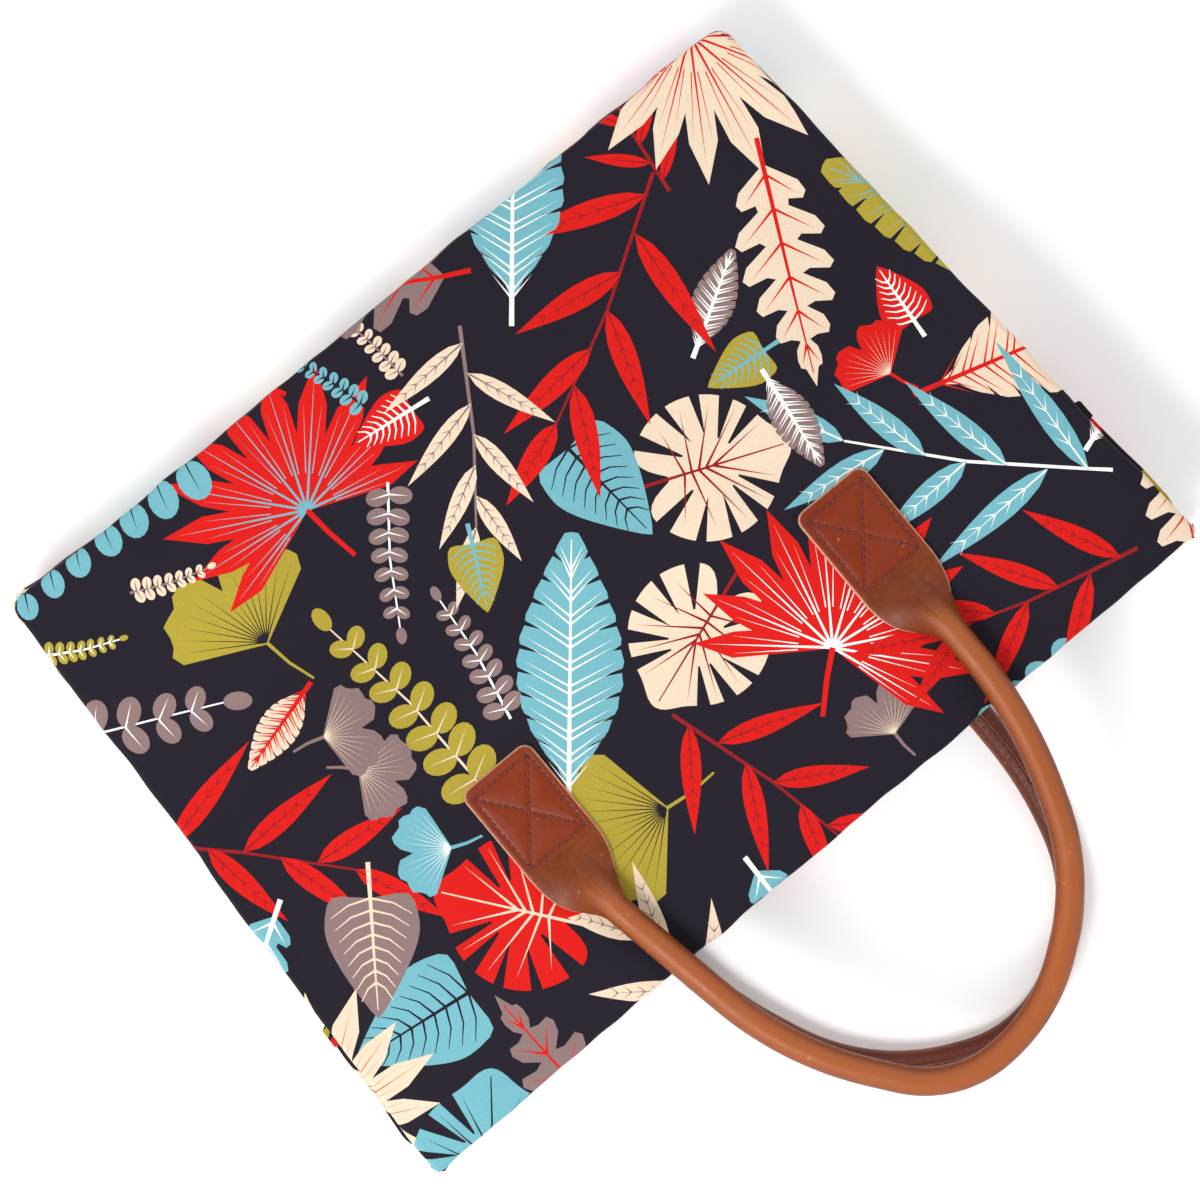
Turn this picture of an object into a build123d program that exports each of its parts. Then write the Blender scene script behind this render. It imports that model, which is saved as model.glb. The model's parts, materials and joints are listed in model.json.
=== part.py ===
# Soft padded laptop bag, lying on its back.
# X runs across the bag, +Y runs from its bottom seam to its handles, and +Z is out of its front face.
# The origin is on the floor, in the middle of the flat stretch of the back that rests on it.
# The upper part of the bag is raised, because the back handle lies between it and the floor.
from build123d import *
import math
import os

# Body of the bag
body_height = 291.0
bottom_width = 382.0
top_width = 409.0
bottom_corner_radius = 7.0
top_corner_radius = 3.0
least_corner_radius = 0.8
rise_length = 90.0
rise_to_tab = 4.5

# Plies of the padded walls, from the outside in
shell_fabric = 0.8
foam_ply = 5.0
lining_ply = 0.5
ply_gap = 0.1
gusset_foam_ply = 3.0

# Spaces inside
laptop_space = 18.0
front_space = 8.0
divider_ply = 4.0
divider_drop = 52.0
pocket_fabric = 0.5
pocket_gap = 1.0
pocket_width = 220.0
pocket_height = 150.0
pocket_drop = 75.0
strap_width = 38.0
strap_ply = 1.6
strap_grip = 34.0

# Zip, which runs along the top and down both sides
zip_side_drop = 65.0
zip_recess = 8.0
zip_proud = 1.8
zip_corner_radius = 11.0
strip_ply = 2.4
window_width = 12.0
tape_ply = 0.6
tape_width = 12.0
coil_width = 2.4
coil_height = 2.2
coil_slot = 1.6
end_tab_length = 9.0
end_tab_lap = 1.0

# Sliders and pulls
slider_length = 11.0
slider_width = 9.6
slider_tail_width = 7.7
slider_plate = 1.2
slider_flange = 1.2
slider_post = 1.0
slider_post_length = 3.0
slider_clearance = 0.3
slider_meeting_gap = 2.0
bridge_opening = 2.2
bridge_strap = 1.2
bridge_width = 2.0
pull_length = 26.0
pull_width = 7.0
pull_end_radius = 2.8
pull_ply = 1.4
pull_eye_length = 5.0
pull_bar = 1.3

# Handles, which are leather rolled round a cord
tube_diameter = 12.0
leather = 1.5
core_clearance = 0.1
seat_clearance = 0.3
tab_width = 36.0
tab_ply = 2.4
tab_corner_radius = 4.0
tab_drop = 112.5
fold_drop = 67.5
throat_length = 28.0
throat_step = 0.1
throat_stages = (0.0, 0.35, 0.7, 1.0)
tube_flat_count = 16
bore_flat_count = 8
core_flat_count = 6
backing_width = 44.0
backing_length = 56.0
backing_ply = 1.0

# Handle loops: tab centres, and the corners that the rolled leather rounds off,
# each as its X and its height above the bag's top edge
front_tab_centres = (-99.5, 79.6)
front_loop = [(-102.8, 9.3), (-79.3, 74.6), (-32.7, 110.2), (17.4, 112.1), (60.5, 55.7)]
back_tab_centres = (-90.5, 74.5)
back_loop = [(-91.2, 39.7), (-77.4, 85.8), (-24.2, 123.1), (43.1, 91.6), (77.2, 10.0)]
loop_start_shift = (-1.0, -1.4)
end_run_share = 0.95
inner_run_share = 0.49

# Levels and lines that follow from the sizes above
wall = shell_fabric + foam_ply + lining_ply + 2 * ply_gap
cavity = laptop_space + divider_ply + front_space
depth = 2 * wall + cavity
rest_length = body_height - tab_drop - rise_to_tab - rise_length
bottom_y = -rest_length / 2
top_y = bottom_y + body_height
lift = tube_diameter + 2 * seat_clearance
front_face = lift + depth
side_slope = (top_width - bottom_width) / 2 / body_height
side_cos = 1 / math.hypot(1, side_slope)
rise_radius = (rise_length**2 + lift**2) / (4 * lift)
rise_start = rest_length / 2
rise_end = rise_start + rise_length
zip_level = lift + depth / 2
fold_y = top_y - fold_drop
throat_top_y = fold_y + throat_length
gusset_stack = shell_fabric + gusset_foam_ply + lining_ply + 2 * ply_gap
side_end_y = top_y - zip_side_drop
zip_line_y = top_y - zip_recess - strip_ply / 2
tube_radius = tube_diameter / 2


def side_x(y, inset):
    """X of the right side line at a height, moved in by an inset measured square to the line."""
    return bottom_width / 2 + (y - bottom_y) * side_slope - inset / side_cos


def outline(inset, top_limit=None):
    """The bag's plan, moved in by an inset. Its top may stop at a line of its own."""
    low = bottom_y + inset
    high = top_y - inset if top_limit is None else top_limit
    corners = [
        (-side_x(low, inset), low),
        (side_x(low, inset), low),
        (side_x(high, inset), high),
        (-side_x(high, inset), high),
    ]
    face = make_face(Polyline(*corners, close=True))
    low_corners = face.vertices().group_by(Axis.Y)[0]
    face = fillet(low_corners, max(bottom_corner_radius - inset, least_corner_radius))
    high_corners = face.vertices().group_by(Axis.Y)[-1]
    return fillet(high_corners, max(top_corner_radius - inset, least_corner_radius))


def rise_curve(z, start_y, end_y):
    """The line that every ply follows: flat on the floor, up over the back handle, and flat again."""
    middle_y = (rise_start + rise_end) / 2
    half = (middle_y - rise_start) / 2
    sag = rise_radius - math.sqrt(rise_radius**2 - half**2)
    return [
        Line((start_y, z), (rise_start, z)),
        ThreePointArc((rise_start, z), (rise_start + half, z + sag), (middle_y, z + lift / 2)),
        ThreePointArc((middle_y, z + lift / 2), (rise_end - half, z + lift - sag), (rise_end, z + lift)),
        Line((rise_end, z + lift), (end_y, z + lift)),
    ]


def layer(low, high):
    """A ply between two levels, as wide and long as anything in the bag."""
    start_y = bottom_y - tube_diameter
    end_y = top_y + tube_diameter
    edges = rise_curve(low, start_y, end_y) + rise_curve(high, start_y, end_y)
    edges.append(Line((start_y, low), (start_y, high)))
    edges.append(Line((end_y, low + lift), (end_y, high + lift)))
    face = Plane.YZ * make_face(edges)
    return extrude(face, top_width, dir=(1, 0, 0), both=True)


def ply(plan, low, high):
    """A plan cut out of the ply between two levels."""
    tall = extrude(plan, 2 * front_face, dir=(0, 0, 1), both=True)
    return tall & layer(low, high)


def block(x0, x1, y0, y1, z0, z1):
    """A plain block between two corners."""
    return Pos((x0 + x1) / 2, (y0 + y1) / 2, (z0 + z1) / 2) * Box(x1 - x0, y1 - y0, z1 - z0)


def wall_shell(outer_level, inner_level):
    """The printed cover of one padded wall: its face, and the rim turned over the edge of the foam."""
    low = min(outer_level, inner_level)
    high = max(outer_level, inner_level)
    whole = ply(outline(0), low, high)
    if outer_level < inner_level:
        hollow = ply(outline(shell_fabric), outer_level + shell_fabric, high + lift)
    else:
        hollow = ply(outline(shell_fabric), low - lift, outer_level - shell_fabric)
    return whole - hollow


def wall_foam(low, high, pockets):
    """The foam board of one wall, with a pocket for each backing patch."""
    foam = ply(outline(shell_fabric + ply_gap), low, high)
    for pocket in pockets:
        foam -= pocket
    return foam


def backing_patch(centre_x, face_level, side, grow=0.0):
    """The patch behind a handle tab, on the foam under the printed cover."""
    middle_y = top_y - tab_drop + (tab_drop - fold_drop) / 2
    outer = face_level - side * (shell_fabric + ply_gap)
    inner = outer - side * (backing_ply + grow)
    half_x = backing_width / 2 + grow
    half_y = backing_length / 2 + grow
    z0, z1 = sorted((outer, inner))
    return block(centre_x - half_x, centre_x + half_x, middle_y - half_y, middle_y + half_y, z0, z1)


def gusset_band(outer_inset, inner_inset):
    """A band of the gusset, round the bottom and up both sides as far as the zip."""
    end_y = side_end_y - ply_gap
    plan = outline(outer_inset, top_limit=top_y)
    inner = outline(inner_inset, top_limit=top_y + wall)
    above = Pos(0, end_y + body_height / 2, 0) * Rectangle(2 * top_width, body_height)
    return plan - inner - above


def gusset_foams(low, high):
    """The gusset's foam: a strip along the bottom and one up each side, which butt at the corners."""
    inset = shell_fabric + ply_gap
    band = gusset_band(inset, inset + gusset_foam_ply)
    seam_y = bottom_y + inset + gusset_foam_ply
    areas = {"bottom": Pos(0, seam_y - body_height / 2) * Rectangle(2 * top_width, body_height)}
    for name, side in (("left", -1), ("right", 1)):
        middle = Pos(side * top_width / 2, seam_y + ply_gap + body_height / 2)
        areas[name] = middle * Rectangle(top_width, body_height)
    return {name: ply(band & area, low, high) for name, area in areas.items()}


def zip_path():
    """The middle line of the zip's strips: up the right side, along the top, and down the left side."""
    side_inset = strip_ply / 2 - zip_proud
    end_x = side_x(side_end_y, side_inset)
    top_x = side_x(zip_line_y, side_inset)
    return FilletPolyline(
        (end_x, side_end_y),
        (top_x, zip_line_y),
        (-top_x, zip_line_y),
        (-end_x, side_end_y),
        radius=zip_corner_radius,
    )


def along_zip(z0, z1, out0, out1):
    """A flat band that follows the zip, between two levels and two distances out from its middle line."""
    path = zip_path()
    start = Plane(origin=path @ 0, x_dir=(0, 0, 1), z_dir=path % 0)
    section = start * Pos((z0 + z1) / 2, (out0 + out1) / 2) * Rectangle(z1 - z0, out1 - out0)
    return sweep(section, path=path)


def zip_strip(side):
    """A printed strip between a wall and the zip's window."""
    outer = zip_level + side * (cavity / 2 - ply_gap)
    inner = zip_level + side * window_width / 2
    z0, z1 = sorted((outer, inner))
    return along_zip(z0, z1, -strip_ply / 2, strip_ply / 2)


def zip_tape(side):
    """A tape that is sewn under its strip and carries its coil."""
    inner = zip_level + side * coil_slot / 2
    outer = inner + side * tape_width
    z0, z1 = sorted((outer, inner))
    return along_zip(z0, z1, -strip_ply / 2 - tape_ply, -strip_ply / 2)


def zip_coil(side):
    """One half of the zip's chain, on the outer face of its tape."""
    inner = zip_level + side * coil_slot / 2
    outer = inner + side * coil_width
    z0, z1 = sorted((outer, inner))
    return along_zip(z0, z1, -strip_ply / 2, coil_height - strip_ply / 2)


def zip_end_tab(side):
    """The folded patch over an end of the zip, where it meets the gusset."""
    y0 = side_end_y - end_tab_length
    y1 = side_end_y
    half_z = cavity / 2 - ply_gap
    outer = -zip_proud - end_tab_lap
    corners = [
        (side_x(y0, -ply_gap) * side, y0),
        (side_x(y0, outer) * side, y0),
        (side_x(y1, outer) * side, y1 - ply_gap),
        (side_x(y1, -ply_gap) * side, y1 - ply_gap),
    ]
    face = Pos(0, 0, zip_level - half_z) * make_face(Polyline(*corners, close=True))
    return extrude(face, 2 * half_z, dir=(0, 0, 1))


def slider_seat(side):
    """The plane of a slider: its origin on the outer face of the tapes, +Y out of the bag."""
    centre = side * (slider_length + slider_meeting_gap) / 2
    return Pos(centre, zip_line_y - strip_ply / 2, zip_level)


def slider_body(side):
    """A slider: two plates, flanges over the chain, a post between the tapes, and the pull's bridge."""
    half_l = slider_length / 2
    half_w = slider_width / 2
    top0 = coil_height + slider_clearance
    top1 = top0 + slider_plate
    low1 = -tape_ply - slider_clearance
    low0 = low1 - slider_plate
    nose = -side
    half_tail = slider_tail_width / 2
    plan = Plane.XZ * make_face(
        Polyline(
            (nose * half_l, -half_w),
            (-nose * half_l, -half_tail),
            (-nose * half_l, half_tail),
            (nose * half_l, half_w),
            close=True,
        )
    )
    top = extrude(plan, -(top1 - top0))
    body = Pos(0, top0, 0) * top + Pos(0, low0, 0) * top
    rim_height = top0 - slider_clearance
    channel_width = slider_width - 2 * slider_flange
    channel = Pos(0, slider_clearance + rim_height / 2, 0) * Box(2 * slider_length, rim_height, channel_width)
    rim = Pos(0, slider_clearance, 0) * extrude(plan, -rim_height)
    body += rim - channel
    post_x = nose * (half_l - slider_post_length / 2)
    body += Pos(post_x, (low0 + top1) / 2, 0) * Box(slider_post_length, top1 - low0, slider_post)
    bridge_low = top1 - slider_plate / 2
    bridge_high = top1 + bridge_opening + bridge_strap
    span = slider_length - 2 * slider_flange
    arch = Pos(0, (bridge_low + bridge_high) / 2, 0) * Box(span, bridge_high - bridge_low, bridge_width)
    arch = fillet(arch.edges().filter_by(Axis.Z).group_by(Axis.Y)[-1], bridge_strap)
    opening_length = span - 2 * bridge_strap
    opening = Pos(0, top1 + bridge_opening / 2, 0) * Box(opening_length, bridge_opening, 2 * bridge_width)
    body += arch - opening
    return slider_seat(side) * body


def pull_pivot_height():
    """Height of the pull's bar above the tapes."""
    return coil_height + slider_clearance + slider_plate + bridge_opening / 2


def pull(side):
    """A pull: a plate with an eye at one end, whose bar passes under the slider's bridge."""
    plate = Pos(side * pull_length / 2, 0, 0) * Box(pull_length, pull_ply, pull_width)
    ends = plate.edges().filter_by(Axis.Y).sort_by(Axis.X)
    plate = fillet(ends[-2:] if side > 0 else ends[:2], pull_end_radius)
    eye_width = pull_width - 2 * pull_bar
    plate -= Pos(side * pull_eye_length / 2, 0, 0) * Box(pull_eye_length, 2 * pull_ply, eye_width)
    plate += Cylinder(pull_bar / 2, pull_width)
    return slider_seat(side) * Pos(0, pull_pivot_height(), 0) * plate


def loop_path(tab_centres, corners):
    """The middle line of a handle's rolled leather, rounded as widely as its corners allow."""
    start = (tab_centres[0] + loop_start_shift[0], throat_top_y)
    end = (tab_centres[1] + loop_start_shift[1], throat_top_y)
    points = [start] + [(x, top_y + rise) for x, rise in corners] + [end]
    runs = [math.dist(a, b) for a, b in zip(points, points[1:])]
    shares = [end_run_share] + [inner_run_share] * (len(runs) - 2) + [end_run_share]
    radii = []
    for i in range(1, len(points) - 1):
        before = Vector(*points[i]) - Vector(*points[i - 1])
        after = Vector(*points[i + 1]) - Vector(*points[i])
        turn = math.radians(before.get_angle(after))
        radii.append(min(runs[i - 1] * shares[i - 1], runs[i] * shares[i]) / math.tan(turn / 2))
    return FilletPolyline(*points, radius=radii)


def ring_angles(count):
    """Angles of a ring's corners, set so that a flat lies under it."""
    return [2 * math.pi * (i + 0.5) / count - math.pi / 2 for i in range(count)]


def tube_section(plane, radius, count):
    """A section of the rolled leather or of its cord, with flats all round."""
    points = [(radius * math.cos(angle), radius * math.sin(angle)) for angle in ring_angles(count)]
    return plane * make_face(Polyline(*points, close=True))


def across(origin, heading):
    """The plane square to a heading in the bag's plan, with its Y up."""
    heading = Vector(heading.X, heading.Y, 0)
    return Plane(origin=origin, x_dir=(heading.Y, -heading.X, 0), z_dir=-heading)


def throat_section(plane, stage):
    """A section of the leather on its way from the flat tab, at stage 0, to the rolled tube, at stage 1."""
    narrowing = math.cos(stage * math.pi / 2)
    end_width = tube_diameter + 2 * throat_step
    width = end_width + (tab_width - end_width) * narrowing
    ridge = tab_ply + (tube_diameter - tab_ply) * math.sin(stage * math.pi / 2)
    roundness = stage**2
    points = []
    for angle in ring_angles(tube_flat_count):
        cos_a = math.cos(angle)
        sin_a = math.sin(angle)
        flat_x = width / 2 * math.copysign(math.sqrt(abs(cos_a)), cos_a)
        bump = (ridge - tab_ply) * math.exp(-((flat_x / tube_radius) ** 2))
        flat_z = tab_ply + bump if sin_a > 0 else 0
        round_x = width / 2 * cos_a
        round_z = ridge / 2 + (ridge / 2 + throat_step) * sin_a
        x = (1 - roundness) * flat_x + roundness * round_x
        z = (1 - roundness) * flat_z + roundness * round_z
        points.append((x, z))
    return plane * make_face(Polyline(*points, close=True))


def throat(tab_x, path, end):
    """The leather that wraps from a flat tab into the rolled tube, set with its underside at level 0."""
    tip = path @ end
    heading = path % end if end == 0 else -(path % end)
    low_y = fold_y + seat_clearance
    sections = []
    for stage in throat_stages:
        origin = (tab_x + (tip.X - tab_x) * stage, low_y + (throat_top_y - low_y) * stage, 0)
        lean = heading * stage + Vector(0, 1, 0) * (1 - stage)
        sections.append(throat_section(across(origin, lean), stage))
    return loft(sections, ruled=True)


def handle_wrap(tab_centres, corners):
    """The rolled leather of a handle and its two throats, with its underside at level 0."""
    path = loop_path(tab_centres, corners)
    start = across(path @ 0, path % 0)
    bore = tube_section(start, tube_radius - leather, bore_flat_count)
    tube = sweep(tube_section(start, tube_radius, tube_flat_count) - bore, path=path)
    tube = Pos(0, 0, tube_radius) * tube
    return tube + throat(tab_centres[0], path, 0) + throat(tab_centres[1], path, 1)


def handle_core(tab_centres, corners):
    """The cord inside a handle's rolled leather."""
    path = loop_path(tab_centres, corners)
    bore_inner = (tube_radius - leather) * math.cos(math.pi / bore_flat_count)
    start = across(path @ 0, path % 0)
    core = sweep(tube_section(start, bore_inner - core_clearance, core_flat_count), path=path)
    return Pos(0, 0, tube_radius) * core


def tab(centre_x):
    """The stitched end of a handle's leather, flat on the wall, with its underside at level 0."""
    low = top_y - tab_drop
    plan = Pos(centre_x, (low + fold_y) / 2) * Rectangle(tab_width, fold_y - low)
    plan = fillet(plan.vertices().group_by(Axis.Y)[0], tab_corner_radius)
    return extrude(plan, tab_ply, dir=(0, 0, 1))


def on_front(solid, gap=0.0):
    """Puts a piece that was made at level 0 on the front of the bag."""
    return Pos(0, 0, front_face + gap) * solid


def on_back(solid, gap=0.0):
    """Turns a piece that was made at level 0 over, and puts it under the back of the bag."""
    return Pos(0, 0, lift - gap) * mirror(solid, about=Plane.XY)


def divider():
    """The padded wall between the laptop's space and the front space."""
    low = wall + laptop_space
    plan = outline(gusset_stack + ply_gap, top_limit=top_y - divider_drop)
    return ply(plan, low + ply_gap, low + divider_ply - ply_gap)


def divider_strap():
    """The strap from the back lining over the laptop's space, which grips the divider's front."""
    back = lift + wall
    front = back + laptop_space + divider_ply
    over_y = top_y - divider_drop + ply_gap
    profile = [
        (over_y - strap_grip, back),
        (over_y + strap_ply, back),
        (over_y + strap_ply, front + strap_ply),
        (over_y - strap_grip, front + strap_ply),
        (over_y - strap_grip, front),
        (over_y, front),
        (over_y, back + strap_ply),
        (over_y - strap_grip, back + strap_ply),
    ]
    face = Plane.YZ * make_face(Polyline(*profile, close=True))
    return extrude(face, strap_width / 2, dir=(1, 0, 0), both=True)


def slip_pocket():
    """A flat pocket of lining fabric on the front lining, open at its top."""
    inner = depth - wall - ply_gap
    high = top_y - pocket_drop
    middle = Pos(0, high - pocket_height / 2)
    outer_plan = middle * Rectangle(pocket_width, pocket_height)
    seam = 2 * pocket_fabric
    hollow_plan = Pos(0, seam) * middle * Rectangle(pocket_width - 2 * seam, pocket_height)
    whole = ply(outer_plan, inner - pocket_gap - pocket_fabric, inner)
    return whole - ply(hollow_plan, inner - pocket_gap, inner + lift)


def build():
    """Every piece of the bag, by name."""
    pieces = {}
    front_level = depth
    foam_low = shell_fabric + ply_gap
    pieces["back_panel"] = wall_shell(0, wall)
    pieces["front_panel"] = wall_shell(front_level, front_level - wall)
    back_patches = [backing_patch(x, lift, -1) for x in back_tab_centres]
    front_patches = [backing_patch(x, front_face, 1) for x in front_tab_centres]
    back_pockets = [backing_patch(x, lift, -1, ply_gap) for x in back_tab_centres]
    front_pockets = [backing_patch(x, front_face, 1, ply_gap) for x in front_tab_centres]
    pieces["back_foam"] = wall_foam(foam_low, foam_low + foam_ply, back_pockets)
    pieces["front_foam"] = wall_foam(depth - foam_low - foam_ply, depth - foam_low, front_pockets)
    lining_plan = outline(shell_fabric + ply_gap)
    pieces["back_lining"] = ply(lining_plan, wall - lining_ply, wall)
    pieces["front_lining"] = ply(lining_plan, depth - wall, depth - wall + lining_ply)
    low = wall + ply_gap
    high = depth - wall - ply_gap
    lining_inset = gusset_stack - lining_ply
    pieces["main_gusset"] = ply(gusset_band(0, shell_fabric), low, high)
    for name, strip in gusset_foams(low, high).items():
        pieces[f"gusset_foam_{name}"] = strip
    pieces["gusset_lining"] = ply(gusset_band(lining_inset, lining_inset + lining_ply), low, high)
    pieces["divider"] = divider()
    pieces["divider_strap"] = divider_strap()
    pieces["slip_pocket"] = slip_pocket()
    for name, side in (("front", 1), ("back", -1)):
        pieces[f"zip_strip_{name}"] = zip_strip(side)
        pieces[f"zip_tape_{name}"] = zip_tape(side)
        pieces[f"zip_coil_{name}"] = zip_coil(side)
    for name, side in (("left", -1), ("right", 1)):
        pieces[f"zip_end_tab_{name}"] = zip_end_tab(side)
        pieces[f"slider_{name}"] = slider_body(side)
        pieces[f"pull_{name}"] = pull(side)
    for i, name in enumerate(("left", "right")):
        pieces[f"front_tab_{name}"] = on_front(tab(front_tab_centres[i]))
        pieces[f"back_tab_{name}"] = on_back(tab(back_tab_centres[i]))
        pieces[f"front_tab_backing_{name}"] = front_patches[i]
        pieces[f"back_tab_backing_{name}"] = back_patches[i]
    pieces["front_handle"] = on_front(handle_wrap(front_tab_centres, front_loop), seat_clearance)
    pieces["front_handle_core"] = on_front(handle_core(front_tab_centres, front_loop), seat_clearance)
    pieces["back_handle"] = on_back(handle_wrap(back_tab_centres, back_loop), seat_clearance)
    pieces["back_handle_core"] = on_back(handle_core(back_tab_centres, back_loop), seat_clearance)
    return pieces


os.makedirs("parts", exist_ok=True)
for node, solid in build().items():
    export_step(solid, f"parts/{node}.step")
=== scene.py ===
# Looks of a soft padded laptop bag with a leaf print and rolled leather handles.
import json
import math
import random

import bmesh
import bpy
import numpy as np
from mathutils import Matrix, Vector
from mathutils.geometry import delaunay_2d_cdt
from mathutils.kdtree import KDTree

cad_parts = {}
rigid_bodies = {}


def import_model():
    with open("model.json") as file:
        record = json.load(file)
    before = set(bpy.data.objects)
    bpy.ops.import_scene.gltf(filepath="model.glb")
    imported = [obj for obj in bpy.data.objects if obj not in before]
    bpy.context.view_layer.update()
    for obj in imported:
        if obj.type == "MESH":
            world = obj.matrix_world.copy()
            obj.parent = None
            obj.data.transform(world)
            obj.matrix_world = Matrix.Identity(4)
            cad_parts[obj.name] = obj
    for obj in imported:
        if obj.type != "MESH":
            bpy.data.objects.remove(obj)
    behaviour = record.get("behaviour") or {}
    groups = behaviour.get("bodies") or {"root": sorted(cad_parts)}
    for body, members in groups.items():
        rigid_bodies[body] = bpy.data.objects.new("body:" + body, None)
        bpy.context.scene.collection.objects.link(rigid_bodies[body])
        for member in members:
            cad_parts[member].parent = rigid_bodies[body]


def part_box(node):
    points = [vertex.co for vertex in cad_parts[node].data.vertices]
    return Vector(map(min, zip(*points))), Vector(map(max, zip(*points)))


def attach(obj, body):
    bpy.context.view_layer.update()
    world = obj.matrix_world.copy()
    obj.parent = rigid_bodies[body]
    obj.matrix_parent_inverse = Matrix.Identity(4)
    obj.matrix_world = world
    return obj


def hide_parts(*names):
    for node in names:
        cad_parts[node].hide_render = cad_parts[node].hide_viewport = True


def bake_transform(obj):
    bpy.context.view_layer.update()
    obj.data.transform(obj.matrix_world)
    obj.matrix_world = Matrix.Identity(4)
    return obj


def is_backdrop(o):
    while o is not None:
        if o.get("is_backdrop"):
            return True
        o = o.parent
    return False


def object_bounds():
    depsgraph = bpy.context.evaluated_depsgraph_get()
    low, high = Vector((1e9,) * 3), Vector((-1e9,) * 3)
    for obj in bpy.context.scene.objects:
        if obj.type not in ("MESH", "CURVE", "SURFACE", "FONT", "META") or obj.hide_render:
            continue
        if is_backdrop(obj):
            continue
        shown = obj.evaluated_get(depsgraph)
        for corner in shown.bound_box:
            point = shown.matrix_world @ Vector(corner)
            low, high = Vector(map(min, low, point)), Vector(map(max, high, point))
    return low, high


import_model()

cad_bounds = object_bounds()

# All sizes here are in millimetres, and turn into metres where a mesh is made.
MM = 0.001


def box_mm(node):
    """Lowest and highest corner of a CAD node."""
    low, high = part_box(node)
    return np.array(low) / MM, np.array(high) / MM


def unit(rows):
    """The same rows, each at length 1."""
    return rows / np.maximum(np.linalg.norm(rows, axis=1), 1e-9)[:, None]


def runs_of(line):
    """Lengths of a line's runs from point to point."""
    return np.linalg.norm(np.diff(line, axis=0), axis=1)


def length_of(line):
    return float(np.sum(runs_of(line)))


def places_along(line):
    """How far along a line each of its points lies."""
    return np.concatenate([[0], np.cumsum(runs_of(line))])


def rightward(ahead):
    """Each heading in the plan turned a quarter to its right."""
    return np.column_stack([ahead[:, 1], -ahead[:, 0]])


def add_object(name, data):
    made = bpy.data.objects.new(name, data)
    bpy.context.scene.collection.objects.link(made)
    return made


# Plan of the body, and the levels of its plies
BOTTOM_WIDTH = 382.0
TOP_WIDTH = 409.0
BOTTOM_CORNER = 7.0
TOP_CORNER = 3.0
LEAST_CORNER = 0.7
WALL = 6.5
RISE_LENGTH = 90.0
RISE_TO_TAB = 4.5
PANEL_LOW, PANEL_HIGH = box_mm("front_panel")
TAB_LOW, TAB_HIGH = box_mm("front_tab_left")
BOTTOM_Y = PANEL_LOW[1]
TOP_Y = PANEL_HIGH[1]
LIFT = PANEL_HIGH[2] - PANEL_LOW[2] - WALL
FRONT_FACE = PANEL_HIGH[2]
DEPTH = FRONT_FACE - LIFT
ZIP_LEVEL = LIFT + DEPTH / 2
RISE_END = TAB_LOW[1] - RISE_TO_TAB
RISE_START = RISE_END - RISE_LENGTH
FOLD_Y = TAB_HIGH[1]
SIDE_SLOPE = (TOP_WIDTH - BOTTOM_WIDTH) / 2 / (TOP_Y - BOTTOM_Y)

# Cover of a wall: how it turns round the foam's edge, the hem under it, and the grid that its mesh bends on
EDGE_RADIUS = 2.3
HEM = 1.4
GRID_STEP = 6.0

# Printed strips beside the zip and patches at its ends; reaches are measured from the zip's level
STRIP_PLY = 2.4
STRIP_PROUD = 1.8
STRIP_REACH = 14.9
STRIP_CORNER = 11.0
ZIP_RECESS = 8.0
WINDOW_WIDTH = 12.0
PATCH_LENGTH = 9.0
PATCH_REACH = 14.8
PATCH_PROUD = 0.4
PLY_GAP = 0.1
PATCH_LOW = box_mm("zip_end_tab_right")[0][1]

# Print colours, as sRGB
COLOURS = {
    "ground": (28, 22, 34),
    "red": (214, 20, 13),
    "cream": (232, 210, 184),
    "teal": (112, 176, 188),
    "mustard": (172, 154, 52),
    "taupe": (138, 114, 112),
    "white": (250, 246, 240),
    "wine": (150, 20, 28),
}


def linear(rgb):
    """An sRGB colour from 0 to 255 as a linear one."""
    out = []
    for value in rgb:
        c = value / 255
        out.append(c / 12.92 if c <= 0.04045 else ((c + 0.055) / 1.055) ** 2.4)
    return (*out, 1.0)


PAINTS = {name: linear(rgb) for name, rgb in COLOURS.items()}


def side_x(y):
    """Half of the body's width at a height."""
    return BOTTOM_WIDTH / 2 + (y - BOTTOM_Y) * SIDE_SLOPE


def lift_at(y):
    """How far the bag is raised over its back handle, along two arcs that meet."""
    t = np.clip((np.asarray(y, float) - RISE_START) / RISE_LENGTH, 0, 1)
    radius = (RISE_LENGTH**2 + LIFT**2) / (4 * LIFT)
    run = np.minimum(t, 1 - t) * RISE_LENGTH
    rise = radius - np.sqrt(radius**2 - run**2)
    return np.where(t < 0.5, rise, LIFT - rise)


def ripples(seed, longest, shortest):
    """A smooth wavy height in the plan, from about -1 to 1, made of a few seeded waves."""
    count = 14
    dice = random.Random(seed)
    waves = []
    for _ in range(count):
        length = math.exp(dice.uniform(math.log(shortest), math.log(longest)))
        turn = dice.uniform(0, math.tau)
        along_x = math.cos(turn) * math.tau / length
        along_y = math.sin(turn) * math.tau / length
        waves.append((along_x, along_y, dice.uniform(0, math.tau)))

    def height(x, y):
        total = sum(np.sin(x * a + y * b + c) for a, b, c in waves)
        return total / math.sqrt(count) * 0.8

    return height


def smooth_step(value, low, high):
    """0 below a low mark, 1 above a high one, and a soft rise between them."""
    t = np.clip((value - low) / (high - low), 0, 1)
    return t * t * (3 - 2 * t)


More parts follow.
